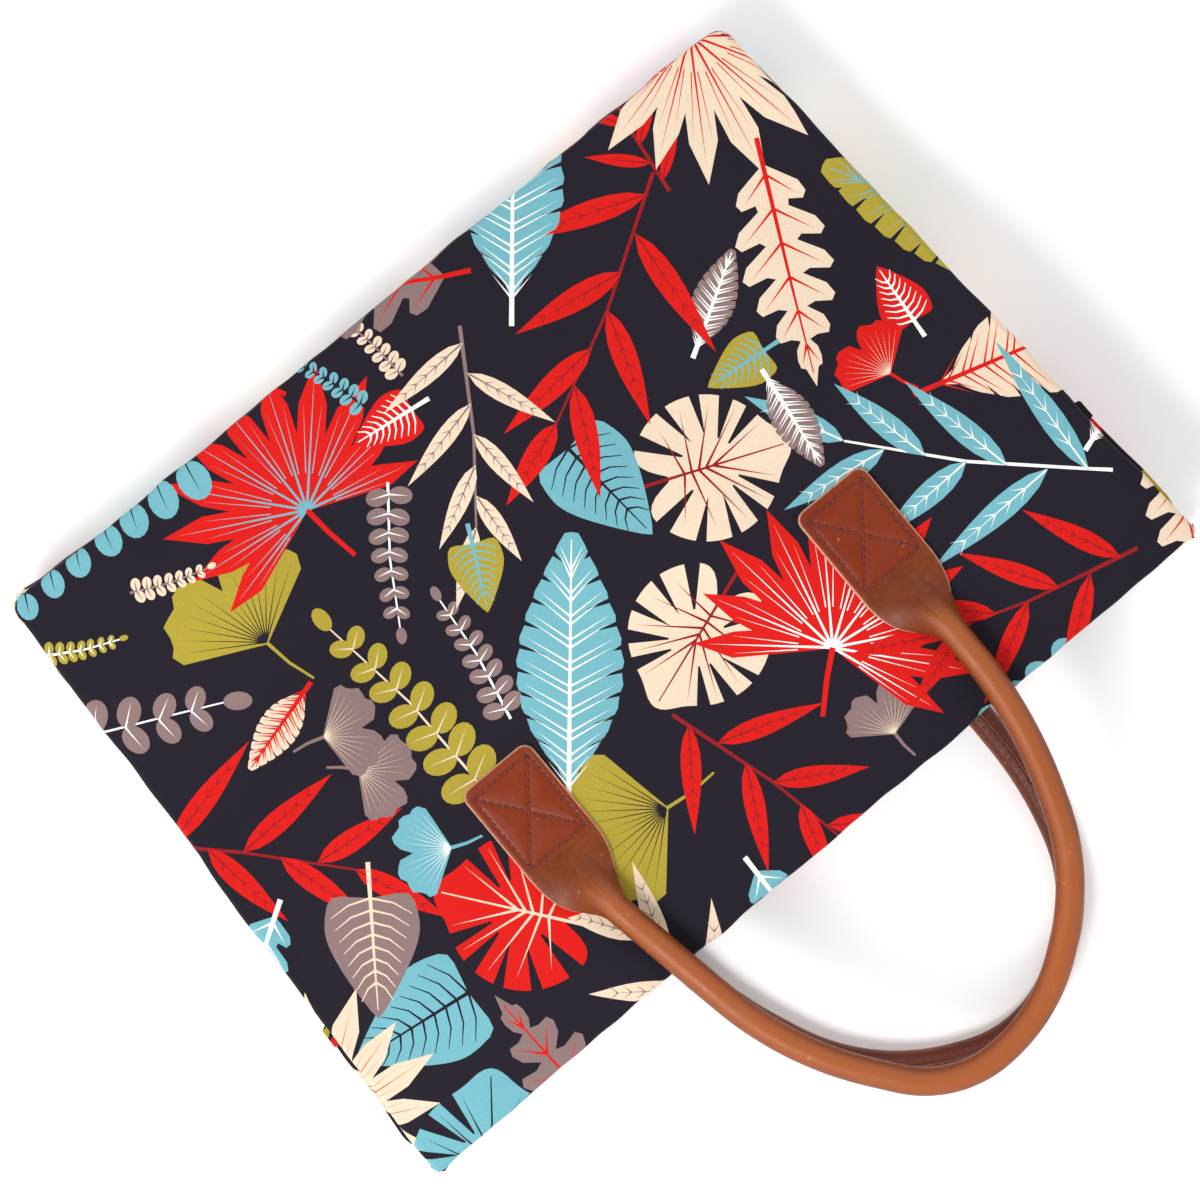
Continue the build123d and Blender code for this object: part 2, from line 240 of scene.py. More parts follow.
def rounded(corners, radii, closed, step):
    """Evenly spaced points along straight runs joined by tangent arcs."""
    arc_steps = 24
    corners = [np.array(c, float) for c in corners]
    count = len(corners)
    line = []
    for i, corner in enumerate(corners):
        if not closed and i in (0, count - 1):
            line.append(corner)
            continue
        back = corners[i - 1] - corner
        ahead = corners[(i + 1) % count] - corner
        back = back / np.linalg.norm(back)
        ahead = ahead / np.linalg.norm(ahead)
        half = math.acos(float(np.clip(back @ ahead, -1, 1))) / 2
        radius = radii[i]
        bisector = (back + ahead) / np.linalg.norm(back + ahead)
        centre = corner + bisector * radius / math.sin(half)
        first = corner + back * radius / math.tan(half) - centre
        last = corner + ahead * radius / math.tan(half) - centre
        sweep = math.pi - 2 * half
        for k in range(arc_steps + 1):
            t = k / arc_steps
            arc = (first * math.sin((1 - t) * sweep) + last * math.sin(t * sweep)) / math.sin(sweep)
            line.append(centre + arc)
    if closed:
        line.append(line[0])
    return resample(np.array(line), step)[: -1 if closed else None]


def resample(line, step):
    """The same line with its points evenly spaced."""
    along = places_along(line)
    count = max(2, int(round(along[-1] / step)) + 1)
    places = np.linspace(0, along[-1], count)
    return np.column_stack([np.interp(places, along, line[:, k]) for k in range(line.shape[1])])


def plan_line(inset, step):
    """The body's plan as a closed line, counter-clockwise, moved in by an inset."""
    low = BOTTOM_Y + inset
    high = TOP_Y - inset
    corners = [
        (-side_x(low) + inset, low), (side_x(low) - inset, low),
        (side_x(high) - inset, high), (-side_x(high) + inset, high)]
    radii = [max(radius - inset, LEAST_CORNER) for radius in (BOTTOM_CORNER, TOP_CORNER) for _ in (0, 1)]
    return rounded(corners, radii, True, step)


class Outline:
    """A closed line in the plan that points are measured from."""

    def __init__(self, line):
        self.line = line
        self.step = np.linalg.norm(line[1] - line[0])
        self.ahead = unit(np.roll(line, -1, axis=0) - np.roll(line, 1, axis=0))
        self.out = rightward(self.ahead)
        self.tree = KDTree(len(line))
        for i, (x, y) in enumerate(line):
            self.tree.insert((x, y, 0), i)
        self.tree.balance()

    def measure(self, points):
        """How far out from the line each point lies, and the line's nearest place and its normal there."""
        index = np.array([self.tree.find((x, y, 0))[1] for x, y in points])
        offset = points - self.line[index]
        shift = np.einsum("ij,ij->i", offset, self.ahead[index]) / self.step
        other = (index + np.where(shift > 0, 1, -1)) % len(self.line)
        share = np.clip(np.abs(shift), 0, 0.5)[:, None]
        out = unit(self.out[index] * (1 - share) + self.out[other] * share)
        base = self.line[index] + self.ahead[index] * (shift * self.step)[:, None]
        distance = np.einsum("ij,ij->i", offset, self.out[index])
        far = np.linalg.norm(offset, axis=1)
        distance = np.where(far > 3 * self.step + np.abs(distance), np.copysign(far, distance), distance)
        return distance, base, out


# The print: every motif is a list of (outline, colour) layers about its own middle, lowest first


def heading(angle):
    """The way that lies at an angle from straight up, clockwise."""
    return np.array([math.sin(angle), math.cos(angle)])


def both_sides(right):
    """A closed outline from its right half, which runs from base to tip."""
    return np.vstack([right, right[-2:0:-1] * (-1, 1)])


def lowered(layers, drop):
    return [(outline - (0, drop), colour) for outline, colour in layers]


def lens(length, width, power=0.85, count=13):
    """A leaf outline with a point at both ends, from (0, 0) up to (0, length)."""
    t = np.linspace(0, 1, count)
    half = width / 2 * np.sin(np.pi * t**power)
    return both_sides(np.column_stack([half, t * length]))


def rod(points, start_width, end_width):
    """A thin strip along a line, which tapers from its start to its end."""
    points = np.asarray(points, float)
    side = unit(rightward(np.gradient(points, axis=0)))
    half = np.linspace(start_width, end_width, len(points))[:, None] / 2
    return np.vstack([points + side * half, (points - side * half)[::-1]])


def spike(start, end, width):
    """A vein: a thin triangle from its wide start to its point."""
    start = np.array(start, float)
    run = np.array(end, float) - start
    side = np.array([run[1], -run[0]]) / np.linalg.norm(run) * width / 2
    return np.array([start - side, start + side, start + run])


def oval(width, length, count=16):
    """A round leaf whose base is at the origin."""
    angles = np.arange(count) / count * math.tau - math.pi / 2
    return np.column_stack([np.cos(angles) * width / 2, (np.sin(angles) + 1) * length / 2])


def turned(outline, degrees, at=(0, 0)):
    """An outline turned about the origin and moved to a place."""
    a = math.radians(degrees)
    spin = np.array([[math.cos(a), math.sin(a)], [-math.sin(a), math.cos(a)]])
    return outline @ spin + np.array(at, float)


def torn_leaf(size, fill, vein, dice):
    """A long broad leaf whose edge is torn between its ribs, with a rib to each shred."""
    length, width = size, size * 0.42
    shreds = 10
    sides = {}
    veins = []
    for side in (1, -1):
        edge = []
        for k in range(shreds):
            t0 = 0.05 + 0.90 * k / shreds
            t1 = 0.05 + 0.90 * (k + 0.86) / shreds
            middle = (t0 + t1) / 2
            deep = dice.uniform(0.35, 0.8)
            for t, share in ((t0, deep), (t0 + 0.015, 0.97), (middle, 1.0), (t1 + 0.01, 0.96)):
                half = width / 2 * math.sin(math.pi * t**0.8) * share
                edge.append((side * half, length * (t + 0.05 * share)))
            tip = width / 2 * math.sin(math.pi * middle**0.8) * 0.88
            for shift in (-0.018, 0.012):
                start = (0, length * (middle - 0.06 + shift))
                veins.append(spike(start, (side * tip, length * (middle + 0.04 + shift)), 0.9))
        sides[side] = edge
    outline = [(0.0, 0.0)] + sides[1] + [(0.0, length)] + sides[-1][::-1]
    layers = [(np.array(outline), fill)] + [(v, vein) for v in veins]
    layers.append((rod([(0, -0.1 * length), (0, 0.4 * length), (0, 0.97 * length)], 2.2, 0.5), vein))
    return lowered(layers, length / 2)


def split_leaf(size, fill, vein, dice):
    """A broad heart-shaped leaf with deep slots between its ribs."""
    slots = (38, 62, 88, 116, 146)
    ribs = (25, 50, 75, 102, 131)
    outline = []
    for degrees in np.arange(0, 360, 4.0):
        a = math.radians(degrees)
        bare = min(degrees, 360 - degrees)
        reach = size * (0.50 - 0.05 * math.cos(a) + 0.10 * math.exp(-((bare / 16) ** 2)))
        reach *= 1 - 0.45 * math.exp(-(((180 - bare) / 13) ** 2))
        near = min(abs(bare - slot) for slot in slots)
        if near < 3:
            reach *= 0.40
        outline.append(heading(a) * reach)
    layers = [(np.array(outline), fill)]
    root = np.array([0, -size * 0.2])
    for side in (1, -1):
        for k, slope in enumerate(ribs):
            a = math.radians(slope + dice.uniform(-2, 2))
            tip = heading(side * a) * size * 0.44
            start = root * (1 - 0.25 * (4 - k))
            layers.append((spike(start, tip, size * 0.018), vein))
    stalk = [(0, -size * 0.6), (0, -size * 0.2), (0, size * 0.5)]
    layers.append((rod(stalk, size * 0.028, size * 0.008), vein))
    return layers


def fan_leaf(size, fill, vein, dice):
    """A palm fan: a pleated half-round whose blades part towards their points."""
    blades = 11
    spread = 230
    outline = [(0.0, 0.0)]
    layers = []
    for k in range(blades + 1):
        edge = math.radians(-spread / 2 + spread * k / blades)
        valley = size * (0.50 if 0 < k < blades else 0.1)
        outline.append(heading(edge) * valley)
        if k == blades:
            break
        mid = math.radians(-spread / 2 + spread * (k + 0.5) / blades)
        reach = size * (0.86 + 0.14 * math.cos(mid)) * dice.uniform(0.94, 1.04)
        for share, off in ((0.72, -0.5), (1.0, 0.0), (0.72, 0.5)):
            a = mid + math.radians(spread / blades) * off * 0.72
            outline.append(heading(a) * (reach * share))
        tip = heading(mid) * reach * 0.9
        layers.append((spike((0, 0), tip, size * 0.018), vein))
        for off in (-0.24, 0.24):
            a = mid + math.radians(spread / blades) * off
            start = heading(a) * reach * 0.25
            layers.append((spike(start, start * 2.9, size * 0.008), vein))
    stalk = [(0, 0), (size * 0.02, -size * 0.2), (size * 0.06, -size * 0.42)]
    fan = [(np.array(outline), fill)] + layers + [(rod(stalk, size * 0.035, size * 0.03), fill)]
    return lowered(fan, size * 0.25)


def coin_sprig(size, fill, vein, dice):
    """A stem with pairs of round leaves, which shrink towards its tip."""
    pairs = 7
    layers = [(rod([(0, -size / 2), (size * 0.03, 0), (0, size / 2)], 1.2, 0.6), vein)]
    for k in range(pairs):
        t = k / pairs
        leaf = size * (0.155 - 0.065 * t)
        at = (size * 0.03 * (1 - (2 * t - 1) ** 2), size * (-0.42 + 0.87 * t))
        for side in (1, -1):
            turn = side * (74 - 22 * t + dice.uniform(-8, 8))
            layers.append((turned(oval(leaf * 0.76, leaf), -turn, at), fill))
            layers.append((turned(spike((0, 0), (0, leaf * 0.85), 0.8), -turn, at), vein))
    layers.append((turned(oval(size * 0.07, size * 0.11), dice.uniform(-10, 10), (0, size * 0.45)), fill))
    return layers


def wedge_leaf(size, fill, vein, dice):
    """A fan-shaped leaf with a wavy end, a notch in it, and fine ribs from its stalk."""
    spread = math.radians(128)
    count = 22
    outline = [(0.0, 0.0)]
    for k in range(count + 1):
        a = -spread / 2 + spread * k / count
        notch = 0.34 * math.exp(-((a / 0.09) ** 2))
        reach = size * (0.93 + 0.035 * math.sin(k * 1.9) - notch - 0.16 * (abs(a) / spread * 2) ** 4)
        outline.append(heading(a) * reach)
    stalk = [(0, size * 0.03), (size * 0.04, -size * 0.25), (size * 0.12, -size * 0.5)]
    layers = [(rod(stalk, 1.5, 1.0), fill), (np.array(outline), fill)]
    ribs = 14
    for k in range(ribs):
        a = -spread * 0.44 + spread * 0.88 * k / (ribs - 1)
        tip = heading(a) * size * (0.55 if abs(a) < 0.1 else 0.8)
        layers.append((spike((0, size * 0.02), tip, size * 0.013), vein))
    return lowered(layers, size * 0.3)


def blade_spray(size, fill, vein, dice):
    """A thin cane with long narrow blades that hang from its joints."""
    cane = [(0, -size * 0.5), (size * 0.02, 0), (size * 0.08, size * 0.42)]
    layers = [(rod(cane, 1.7, 0.9), vein)]
    for k in range(7):
        t = k / 6
        at = (size * 0.08 * t * t, size * (-0.42 + 0.84 * t))
        side = 1 if k % 2 else -1
        length = size * (0.5 - 0.14 * t) * dice.uniform(0.9, 1.1)
        turn = side * (52 - 30 * t) + dice.uniform(-7, 7)
        width = size * 0.085
        layers.append((turned(lens(length, width, 0.7, 9), turn, at), fill))
        layers.append((turned(spike((0, 1), (0, length * 0.85), 0.8), turn, at), vein))
        for rib in range(5 if size > 80 else 0):
            low = length * (0.2 + 0.13 * rib)
            for way in (1, -1):
                tip = (way * width * 0.34, low + length * 0.09)
                layers.append((turned(spike((0, low), tip, 0.6), turn, at), vein))
    return layers


def heart_leaf(size, fill, vein, dice):
    """A heart-shaped leaf with a drawn-out tip and curved ribs."""
    half = []
    for k in range(19):
        t = k / 18
        x = 0.5 * math.sin(math.pi * t**0.62) ** 0.8 * (1 - 0.25 * t)
        y = -0.1 * math.sin(math.pi * min(t * 4, 1)) + t**1.15
        half.append((x * size * 0.86, y * size))
    layers = [(both_sides(np.array(half)), fill)]
    for side in (1, -1):
        for k in range(8):
            y0 = size * (0.0 + 0.10 * k)
            reach = size * (0.34 - 0.03 * k)
            middle = (side * reach * 0.55, y0 + size * 0.05)
            layers.append((rod([(0, y0), middle, (side * reach, y0 + size * 0.15)], 1.0, 0.3), vein))
    layers.append((rod([(0, -size * 0.3), (0, size * 0.3), (0, size * 0.93)], 2.0, 0.4), vein))
    return lowered(layers, size * 0.42)


def lobed_leaf(size, fill, vein, dice):
    """A long leaf with rounded lobes down both sides and a plain light rib."""
    lobes = 6
    right = [(0.0, 0.0)]
    for k in range(lobes):
        t = (k + 0.5) / lobes
        half = size * 0.2 * math.sin(math.pi * (0.12 + 0.86 * t) ** 0.8)
        y0 = size * k / lobes * 0.92
        step = size / lobes * 0.92
        for share, up in ((0.32, 0.12), (0.85, 0.28), (1.0, 0.55), (0.88, 0.8), (0.45, 0.92)):
            right.append((half * share + 0.6, y0 + step * up + half * share * 0.45))
    right.append((0.0, size))
    layers = [(both_sides(np.array(right)), fill)]
    for side in (1, -1):
        for k in range(lobes):
            t = (k + 0.5) / lobes
            half = size * 0.2 * math.sin(math.pi * (0.12 + 0.86 * t) ** 0.8)
            y0 = size * (k + 0.3) / lobes * 0.92
            layers.append((spike((0, y0), (side * half * 0.82, y0 + size * 0.07 + half * 0.3), 1.2), vein))
    layers.append((rod([(0, -size * 0.12), (0, size * 0.4), (0, size * 0.94)], 2.2, 0.5), vein))
    return lowered(layers, size * 0.45)


# Motif, its size, half the length and half the width of the room it keeps (millimetres), and its colour pairs
LARGE = [
    (blade_spray, 112, 54, 30, [("cream", "taupe"), ("teal", "white"), ("red", "wine")]),
    (fan_leaf, 62, 37, 33, [("red", "white"), ("cream", "red"), ("red", "teal")]),
    (split_leaf, 60, 32, 28, [("cream", "wine"), ("teal", "ground"), ("red", "cream")]),
    (torn_leaf, 98, 51, 20, [("mustard", "teal"), ("red", "white"), ("teal", "white"), ("cream", "red")]),
    (lobed_leaf, 90, 46, 21, [("taupe", "red"), ("cream", "red"), ("red", "ground")]),
    (coin_sprig, 104, 52, 17, [("taupe", "white"), ("teal", "ground"), ("mustard", "cream")]),
    (blade_spray, 96, 46, 26, [("teal", "white"), ("red", "wine"), ("cream", "taupe")]),
]
SMALL = [
    (wedge_leaf, 46, 23, 21, [("cream", "red"), ("mustard", "ground"), ("teal", "white")]),
    (heart_leaf, 52, 27, 19, [("red", "cream"), ("teal", "ground"), ("taupe", "cream"), ("cream", "wine")]),
    (blade_spray, 62, 30, 18, [("taupe", "white"), ("red", "wine"), ("teal", "ground")]),
    (lobed_leaf, 60, 31, 14, [("red", "cream"), ("teal", "white"), ("cream", "taupe")]),
    (coin_sprig, 62, 30, 13, [("red", "wine"), ("taupe", "white"), ("cream", "taupe")]),
]
FILLER = [
    (heart_leaf, 28, 14, 10, [("cream", "red"), ("mustard", "teal"), ("red", "white")]),
    (wedge_leaf, 25, 12, 11, [("teal", "white"), ("taupe", "cream"), ("red", "cream")]),
    (coin_sprig, 36, 18, 8, [("mustard", "white"), ("teal", "ground"), ("cream", "taupe")]),
    (torn_leaf, 40, 20, 9, [("red", "white"), ("cream", "red"), ("taupe", "white")]),
]

# Rounds of strewing: motifs, tries, and how near two may come as a share of the room they keep
ROUNDS = ((LARGE, 1600, 0.90), (SMALL, 2600, 0.92), (FILLER, 5000, 0.98))
OVERHANG = 12
COLOUR_REACH = 0.9


def scatter(low, high, seed):
    """Layers of motifs strewn over a rectangle, the large ones first, and shuffled then."""
    dice = random.Random(seed)
    taken = np.zeros((0, 3))
    neighbours = []
    motifs = []
    for kinds, tries, crowding in ROUNDS:
        order = 0
        for _ in range(tries):
            motif, size, half_length, half_width, pairs = kinds[order % len(kinds)]
            at = np.array([dice.uniform(low[k] - OVERHANG, high[k] + OVERHANG) for k in (0, 1)])
            turn = dice.uniform(0, 360)
            count = max(1, round(half_length / half_width))
            along = np.linspace(-1, 1, count)[:, None] if count > 1 else np.zeros((1, 1))
            spots = at + heading(-math.radians(turn)) * along * (half_length - half_width)
            apart = np.linalg.norm(spots[:, None] - taken[None, :, :2], axis=2)
            if (apart < crowding * (half_width + taken[None, :, 2])).any():
                continue
            near = set()
            for place, room, colour in neighbours:
                if np.linalg.norm(at - place) < COLOUR_REACH * (room + half_length):
                    near.add(colour)
            fill, vein = dice.choice([pair for pair in pairs if pair[0] not in near] or pairs)
            neighbours.append((at, half_length, fill))
            taken = np.vstack([taken, np.column_stack([spots, np.full(len(spots), half_width)])])
            order += 1
            layers = motif(size * dice.uniform(0.94, 1.1), fill, vein, dice)
            motifs.append([(turned(outline, turn, at), colour) for outline, colour in layers])
    dice.shuffle(motifs)
    return [layer for layers in motifs for layer in layers]


# Meshing of a cut piece: the grid's shake as a share of its step, the least gap between two points, the least
# area of a triangle, and the length over which a sheet's slope is measured
GRID_SHAKE = 0.15
LEAST_GAP = 0.001
LEAST_AREA = 1e-5
NUDGE = 0.05


def signed_area(loop):
    """Area of an outline, above 0 where it runs counter-clockwise."""
    x, y = loop[:, 0], loop[:, 1]
    return float(np.sum(x * np.roll(y, -1) - y * np.roll(x, -1)) / 2)


def printed_mesh(name, domain, layers, place, extra=(), grid=GRID_STEP):
    """A sheet of printed cloth: its flat cut piece, with the print's outlines in it, put in its place."""
    low, high = domain.min(0), domain.max(0)
    points = [tuple(p) for p in domain]
    faces = [list(range(len(domain)))]
    colours = ["ground"]
    outline_areas = [abs(signed_area(domain))]
    for outline, colour in layers:
        if (outline.max(0) < low).any() or (outline.min(0) > high).any():
            continue
        if signed_area(outline) < 0:
            outline = outline[::-1]
        start = len(points)
        points += [tuple(p) for p in outline]
        faces.append(list(range(start, len(points))))
        colours.append(colour)
        outline_areas.append(abs(signed_area(outline)))
    dice = random.Random(len(points))
    shake = grid * GRID_SHAKE
    for x in np.arange(low[0] + grid / 2, high[0], grid):
        for y in np.arange(low[1] + grid / 2, high[1], grid):
            points.append((x + dice.uniform(-shake, shake), y + dice.uniform(-shake, shake)))
    edges = []
    for line in extra:
        start = len(points)
        points += [tuple(p) for p in line]
        edges += [(i, i + 1) for i in range(start, len(points) - 1)]
    points = [Vector(p) for p in points]
    flat, _, made, _, _, owners = delaunay_2d_cdt(points, edges, faces, 0, LEAST_GAP, True)
    flat = np.array([tuple(v) for v in flat])
    corners = np.array([list(t) for t in made])
    sides = flat[corners[:, 1:]] - flat[corners[:, :1]]
    areas = np.abs(sides[:, 0, 0] * sides[:, 1, 1] - sides[:, 0, 1] * sides[:, 1, 0]) / 2
    covered = np.zeros(len(faces))
    for area, holders in zip(areas, owners):
        covered[holders] += area
    # Where many outlines overlap, one can claim far more than its own area, and it is left out then
    spilt = {i for i in range(1, len(faces)) if covered[i] > 1.02 * outline_areas[i] + 0.05}
    triangles = [(t, max(set(holders) - spilt)) for t, holders in zip(made, owners) if 0 in holders]
    used = sorted({i for t, _ in triangles for i in t})
    renumber = {old: new for new, old in enumerate(used)}
    flat = flat[used]
    triangles = [([renumber[i] for i in t], colours[owner]) for t, owner in triangles]
    triangles = [(t, c) for t, c in triangles if signed_area(flat[t]) > LEAST_AREA]
    co = place(flat)
    across = place(flat + (NUDGE, 0)) - place(flat - (NUDGE, 0))
    upward = place(flat + (0, NUDGE)) - place(flat - (0, NUDGE))
    normals = unit(np.cross(across, upward))
    mesh = bpy.data.meshes.new(name)
    mesh.from_pydata([tuple(p * MM) for p in co], [], [t for t, _ in triangles])
    paint = mesh.color_attributes.new("print", "FLOAT_COLOR", "CORNER")
    values = np.array([PAINTS[c] for _, c in triangles for _ in range(3)], np.float32)
    paint.data.foreach_set("color", values.ravel())
    mesh.normals_split_custom_set_from_vertices([tuple(n) for n in normals])
    mesh.update()
    return add_object(name, mesh)


# The body's covers

TURN_LINE = Outline(plan_line(EDGE_RADIUS, 0.5))
QUARTER = EDGE_RADIUS * math.pi / 2
RIM_END = QUARTER + WALL - EDGE_RADIUS
COVER_REACH = RIM_END + HEM

# How far the photographed corners lie from the plan's: bottom left, bottom right, top right, top left
CORNER_PULL = ((0.9, 1.2), (1.6, -2.0), (0.0, 2.2), (-2.8, -1.2))

front_ripple = ripples(3, 150, 34)
edge_ripple = ripples(5, 70, 18)
back_ripple = ripples(8, 160, 40)


def pulled(xy, weight):
    """The plan as the cloth lies: its corners drawn a little off, and its edges wavy."""
    x, y = xy[:, 0], xy[:, 1]
    u = (x / side_x(y) + 1) / 2
    v = (y - BOTTOM_Y) / (TOP_Y - BOTTOM_Y)
    (blx, bly), (brx, bry), (trx, try_), (tlx, tly) = CORNER_PULL
    near = np.clip(np.abs(2 * u - 1), 0, 1) ** 2
    high = np.clip(np.abs(2 * v - 1), 0, 1) ** 2
    dx = (1 - v) * ((1 - u) * blx + u * brx) + v * ((1 - u) * tlx + u * trx)
    dy = (1 - v) * ((1 - u) * bly + u * bry) + v * ((1 - u) * tly + u * try_)
    dx = dx * (0.3 + 0.7 * near) * (0.4 + 0.6 * high)
    dy = dy * (0.25 + 0.75 * near * high)
    dx = dx + near**4 * 0.5 * edge_ripple(x * 0.1, y)
    dy = dy + high**4 * 0.55 * edge_ripple(x, y * 0.1 + 400)
    return xy + np.column_stack([dx, dy]) * np.asarray(weight)[..., None]


FRONT_TABS = [box_mm(f"front_tab_{end}") for end in ("left", "right")]
THROAT_ROOM = 30


def tab_clearance(x, y):
    """0 under the handles' stitched ends and throats, rising to 1 some way off."""
    clear = np.ones_like(x)
    for low, high in FRONT_TABS:
        dx = np.maximum(np.maximum(low[0] - x, x - high[0]), 0)
        dy = np.maximum(np.maximum(low[1] - y, y - high[1] - THROAT_ROOM), 0)
        clear = np.minimum(clear, smooth_step(np.hypot(dx, dy), 0.6, 20))
    return clear


# The front's cloth, settled by a cloth simulation

CLOTH_COLUMNS = 81
CLOTH_ROWS = 58
CLOTH_FRAMES = 22
CLOTH_SLACK = 0.003
CLOTH_PRESSURE = 0.7


def cloth_spots():
    """Places of the cloth's grid on the front, row by row from the bottom."""
    spots = []
    for y in np.linspace(BOTTOM_Y, TOP_Y, CLOTH_ROWS):
        reach = side_x(y)
        spots += [(x, y) for x in np.linspace(-reach, reach, CLOTH_COLUMNS)]
    return np.array(spots)


def held_spots(flat):
    """True for the grid's places at the seams and under the leather ends."""
    rows = np.arange(len(flat)) // CLOTH_COLUMNS
    columns = np.arange(len(flat)) % CLOTH_COLUMNS
    held = (rows == 0) | (rows == CLOTH_ROWS - 1) | (columns == 0) | (columns == CLOTH_COLUMNS - 1)
    for low, high in FRONT_TABS:
        held |= (np.abs(flat - (low[:2] + high[:2]) / 2) < (high[:2] - low[:2]) / 2).all(1)
    return held


def settle_cloth():
    """Heights of the front's cloth over its foam, on the grid. The sheet is cut with a little slack, drawn
    to the seams, which aren't straight, held under the leather, and pushed up softly by the foam."""
    flat = cloth_spots()
    held = held_spots(flat)
    ripple = 0.4 * front_ripple(flat[:, 0], flat[:, 1]) * ~held
    start = np.column_stack([pulled(flat, np.ones(len(flat))), ripple])
    cut = np.column_stack([flat * (1 + CLOTH_SLACK), np.zeros(len(flat))])
    faces = []
    for row in range(CLOTH_ROWS - 1):
        for column in range(CLOTH_COLUMNS - 1):
            a = row * CLOTH_COLUMNS + column
            faces.append((a, a + 1, a + CLOTH_COLUMNS + 1, a + CLOTH_COLUMNS))
    mesh = bpy.data.meshes.new("cloth")
    mesh.from_pydata([tuple(p * MM) for p in start], [], faces)
    sheet = add_object("cloth", mesh)
    sheet.shape_key_add(name="start")
    pattern = sheet.shape_key_add(name="cut")
    pattern.data.foreach_set("co", (cut * MM).astype(np.float32).ravel())
    group = sheet.vertex_groups.new(name="held")
    group.add([int(i) for i in np.flatnonzero(held)], 1.0, "REPLACE")
    modifier = sheet.modifiers.new("cloth", "CLOTH")
    settings = modifier.settings
    settings.quality = 7
    settings.mass = 0.02
    settings.tension_stiffness = 30
    settings.compression_stiffness = 30
    settings.shear_stiffness = 12
    settings.bending_stiffness = 0.6
    settings.air_damping = 4
    settings.vertex_group_mass = "held"
    settings.rest_shape_key = pattern
    settings.use_pressure = True
    settings.uniform_pressure_force = CLOTH_PRESSURE
    settings.effector_weights.gravity = 0
    modifier.collision_settings.use_collision = False
    modifier.point_cache.frame_start = 1
    modifier.point_cache.frame_end = CLOTH_FRAMES
    scene = bpy.context.scene
    for frame_number in range(1, CLOTH_FRAMES + 1):
        scene.frame_set(frame_number)
    settled = sheet.evaluated_get(bpy.context.evaluated_depsgraph_get()).to_mesh()
    co = np.empty(len(flat) * 3, np.float32)
    settled.vertices.foreach_get("co", co)
    heights = co.reshape(-1, 3)[:, 2].reshape(CLOTH_ROWS, CLOTH_COLUMNS) / MM
    scene.frame_set(1)
    bpy.data.objects.remove(sheet)
    return heights


CLOTH_HEIGHTS = settle_cloth()


def spline_weights(t):
    """Shares of four neighbours in a smooth curve between them."""
    return np.stack([(1 - t) ** 3, 3 * t**3 - 6 * t**2 + 4, -3 * t**3 + 3 * t**2 + 3 * t + 1, t**3]) / 6


def cloth_height(x, y):
    """Height of the settled cloth at any place."""
    column = np.clip((x / side_x(y) + 1) / 2, 0, 1) * (CLOTH_COLUMNS - 1)
    row = np.clip((y - BOTTOM_Y) / (TOP_Y - BOTTOM_Y), 0, 1) * (CLOTH_ROWS - 1)
    column_0, row_0 = np.floor(column).astype(int), np.floor(row).astype(int)
    height = np.zeros_like(row)
    for i, row_share in enumerate(spline_weights(row - row_0)):
        at_row = np.clip(row_0 + i - 1, 0, CLOTH_ROWS - 1)
        for j, column_share in enumerate(spline_weights(column - column_0)):
            at_column = np.clip(column_0 + j - 1, 0, CLOTH_COLUMNS - 1)
            height += row_share * column_share * CLOTH_HEIGHTS[at_row, at_column]
    return height


def front_relief(x, y, depth_in):
    """How far the front's cloth stands off the foam: soft swellings that end at its edges and at the tabs."""
    clear = tab_clearance(x, y)
    wave = 0.30 * front_ripple(x, y) * smooth_step(depth_in, 0, 14)
    near_edge = smooth_step(depth_in, -2, 2) * (1 - smooth_step(depth_in, 5, 26))
    pucker = 0.28 * edge_ripple(x * 1.7, y * 1.7) * near_edge
    swell = 1.1 * smooth_step(depth_in, -1, 40) if CLOTH_HEIGHTS is None else cloth_height(x, y)
    return (swell + wave + pucker) * clear - 0.12


def turned_edge(points):
    """Where a cover's cut piece lies with its edge turned round the foam: place, drop, and depth in."""
    distance, base, out = TURN_LINE.measure(points)
    bend = np.clip(distance / EDGE_RADIUS, 0, math.pi / 2)
    hem = np.clip(distance - RIM_END, 0, None)
    reach = EDGE_RADIUS * np.sin(bend) - hem
    outside = distance > 0
    xy = np.where(outside[:, None], base + out * reach[:, None], points)
    down_rim = np.clip(np.minimum(distance, RIM_END) - QUARTER, 0, None)
    drop = np.where(outside, EDGE_RADIUS * (1 - np.cos(bend)) + down_rim, 0)
    return xy, drop, -distance


def on_front(points):
    """Place of a point of the front's cut piece."""
    xy, drop, depth_in = turned_edge(points)
    relief = front_relief(xy[:, 0], xy[:, 1], depth_in) * (1 - smooth_step(drop, 0.5, WALL))
    z = lift_at(xy[:, 1]) + DEPTH + relief - drop
    return np.column_stack([pulled(xy, np.ones(len(xy))), z])


def on_back(points):
    """Place of a point of the back's cut piece, which is laid out as seen from behind."""
    mirrored = points * (-1, 1)
    xy, drop, depth_in = turned_edge(mirrored)
    wave = np.clip(back_ripple(xy[:, 0], xy[:, 1]), 0, None) * 0.5 * smooth_step(depth_in, 0, 20)
    z = lift_at(xy[:, 1]) + wave * (1 - smooth_step(drop, 0.5, 3)) + drop
    return np.column_stack([pulled(xy, np.full(len(xy), 0.15)), z])


def edge_rings():
    """Lines in the cut piece where the cloth turns, so that the mesh can bend there."""
    rings = []
    for reach in (-0.5, QUARTER * 0.33, QUARTER * 0.66, QUARTER, RIM_END - 0.3, RIM_END + 0.3):
        line = plan_line(EDGE_RADIUS - reach, 2.5)
        rings.append(np.vstack([line, line[:1]]))
    return rings


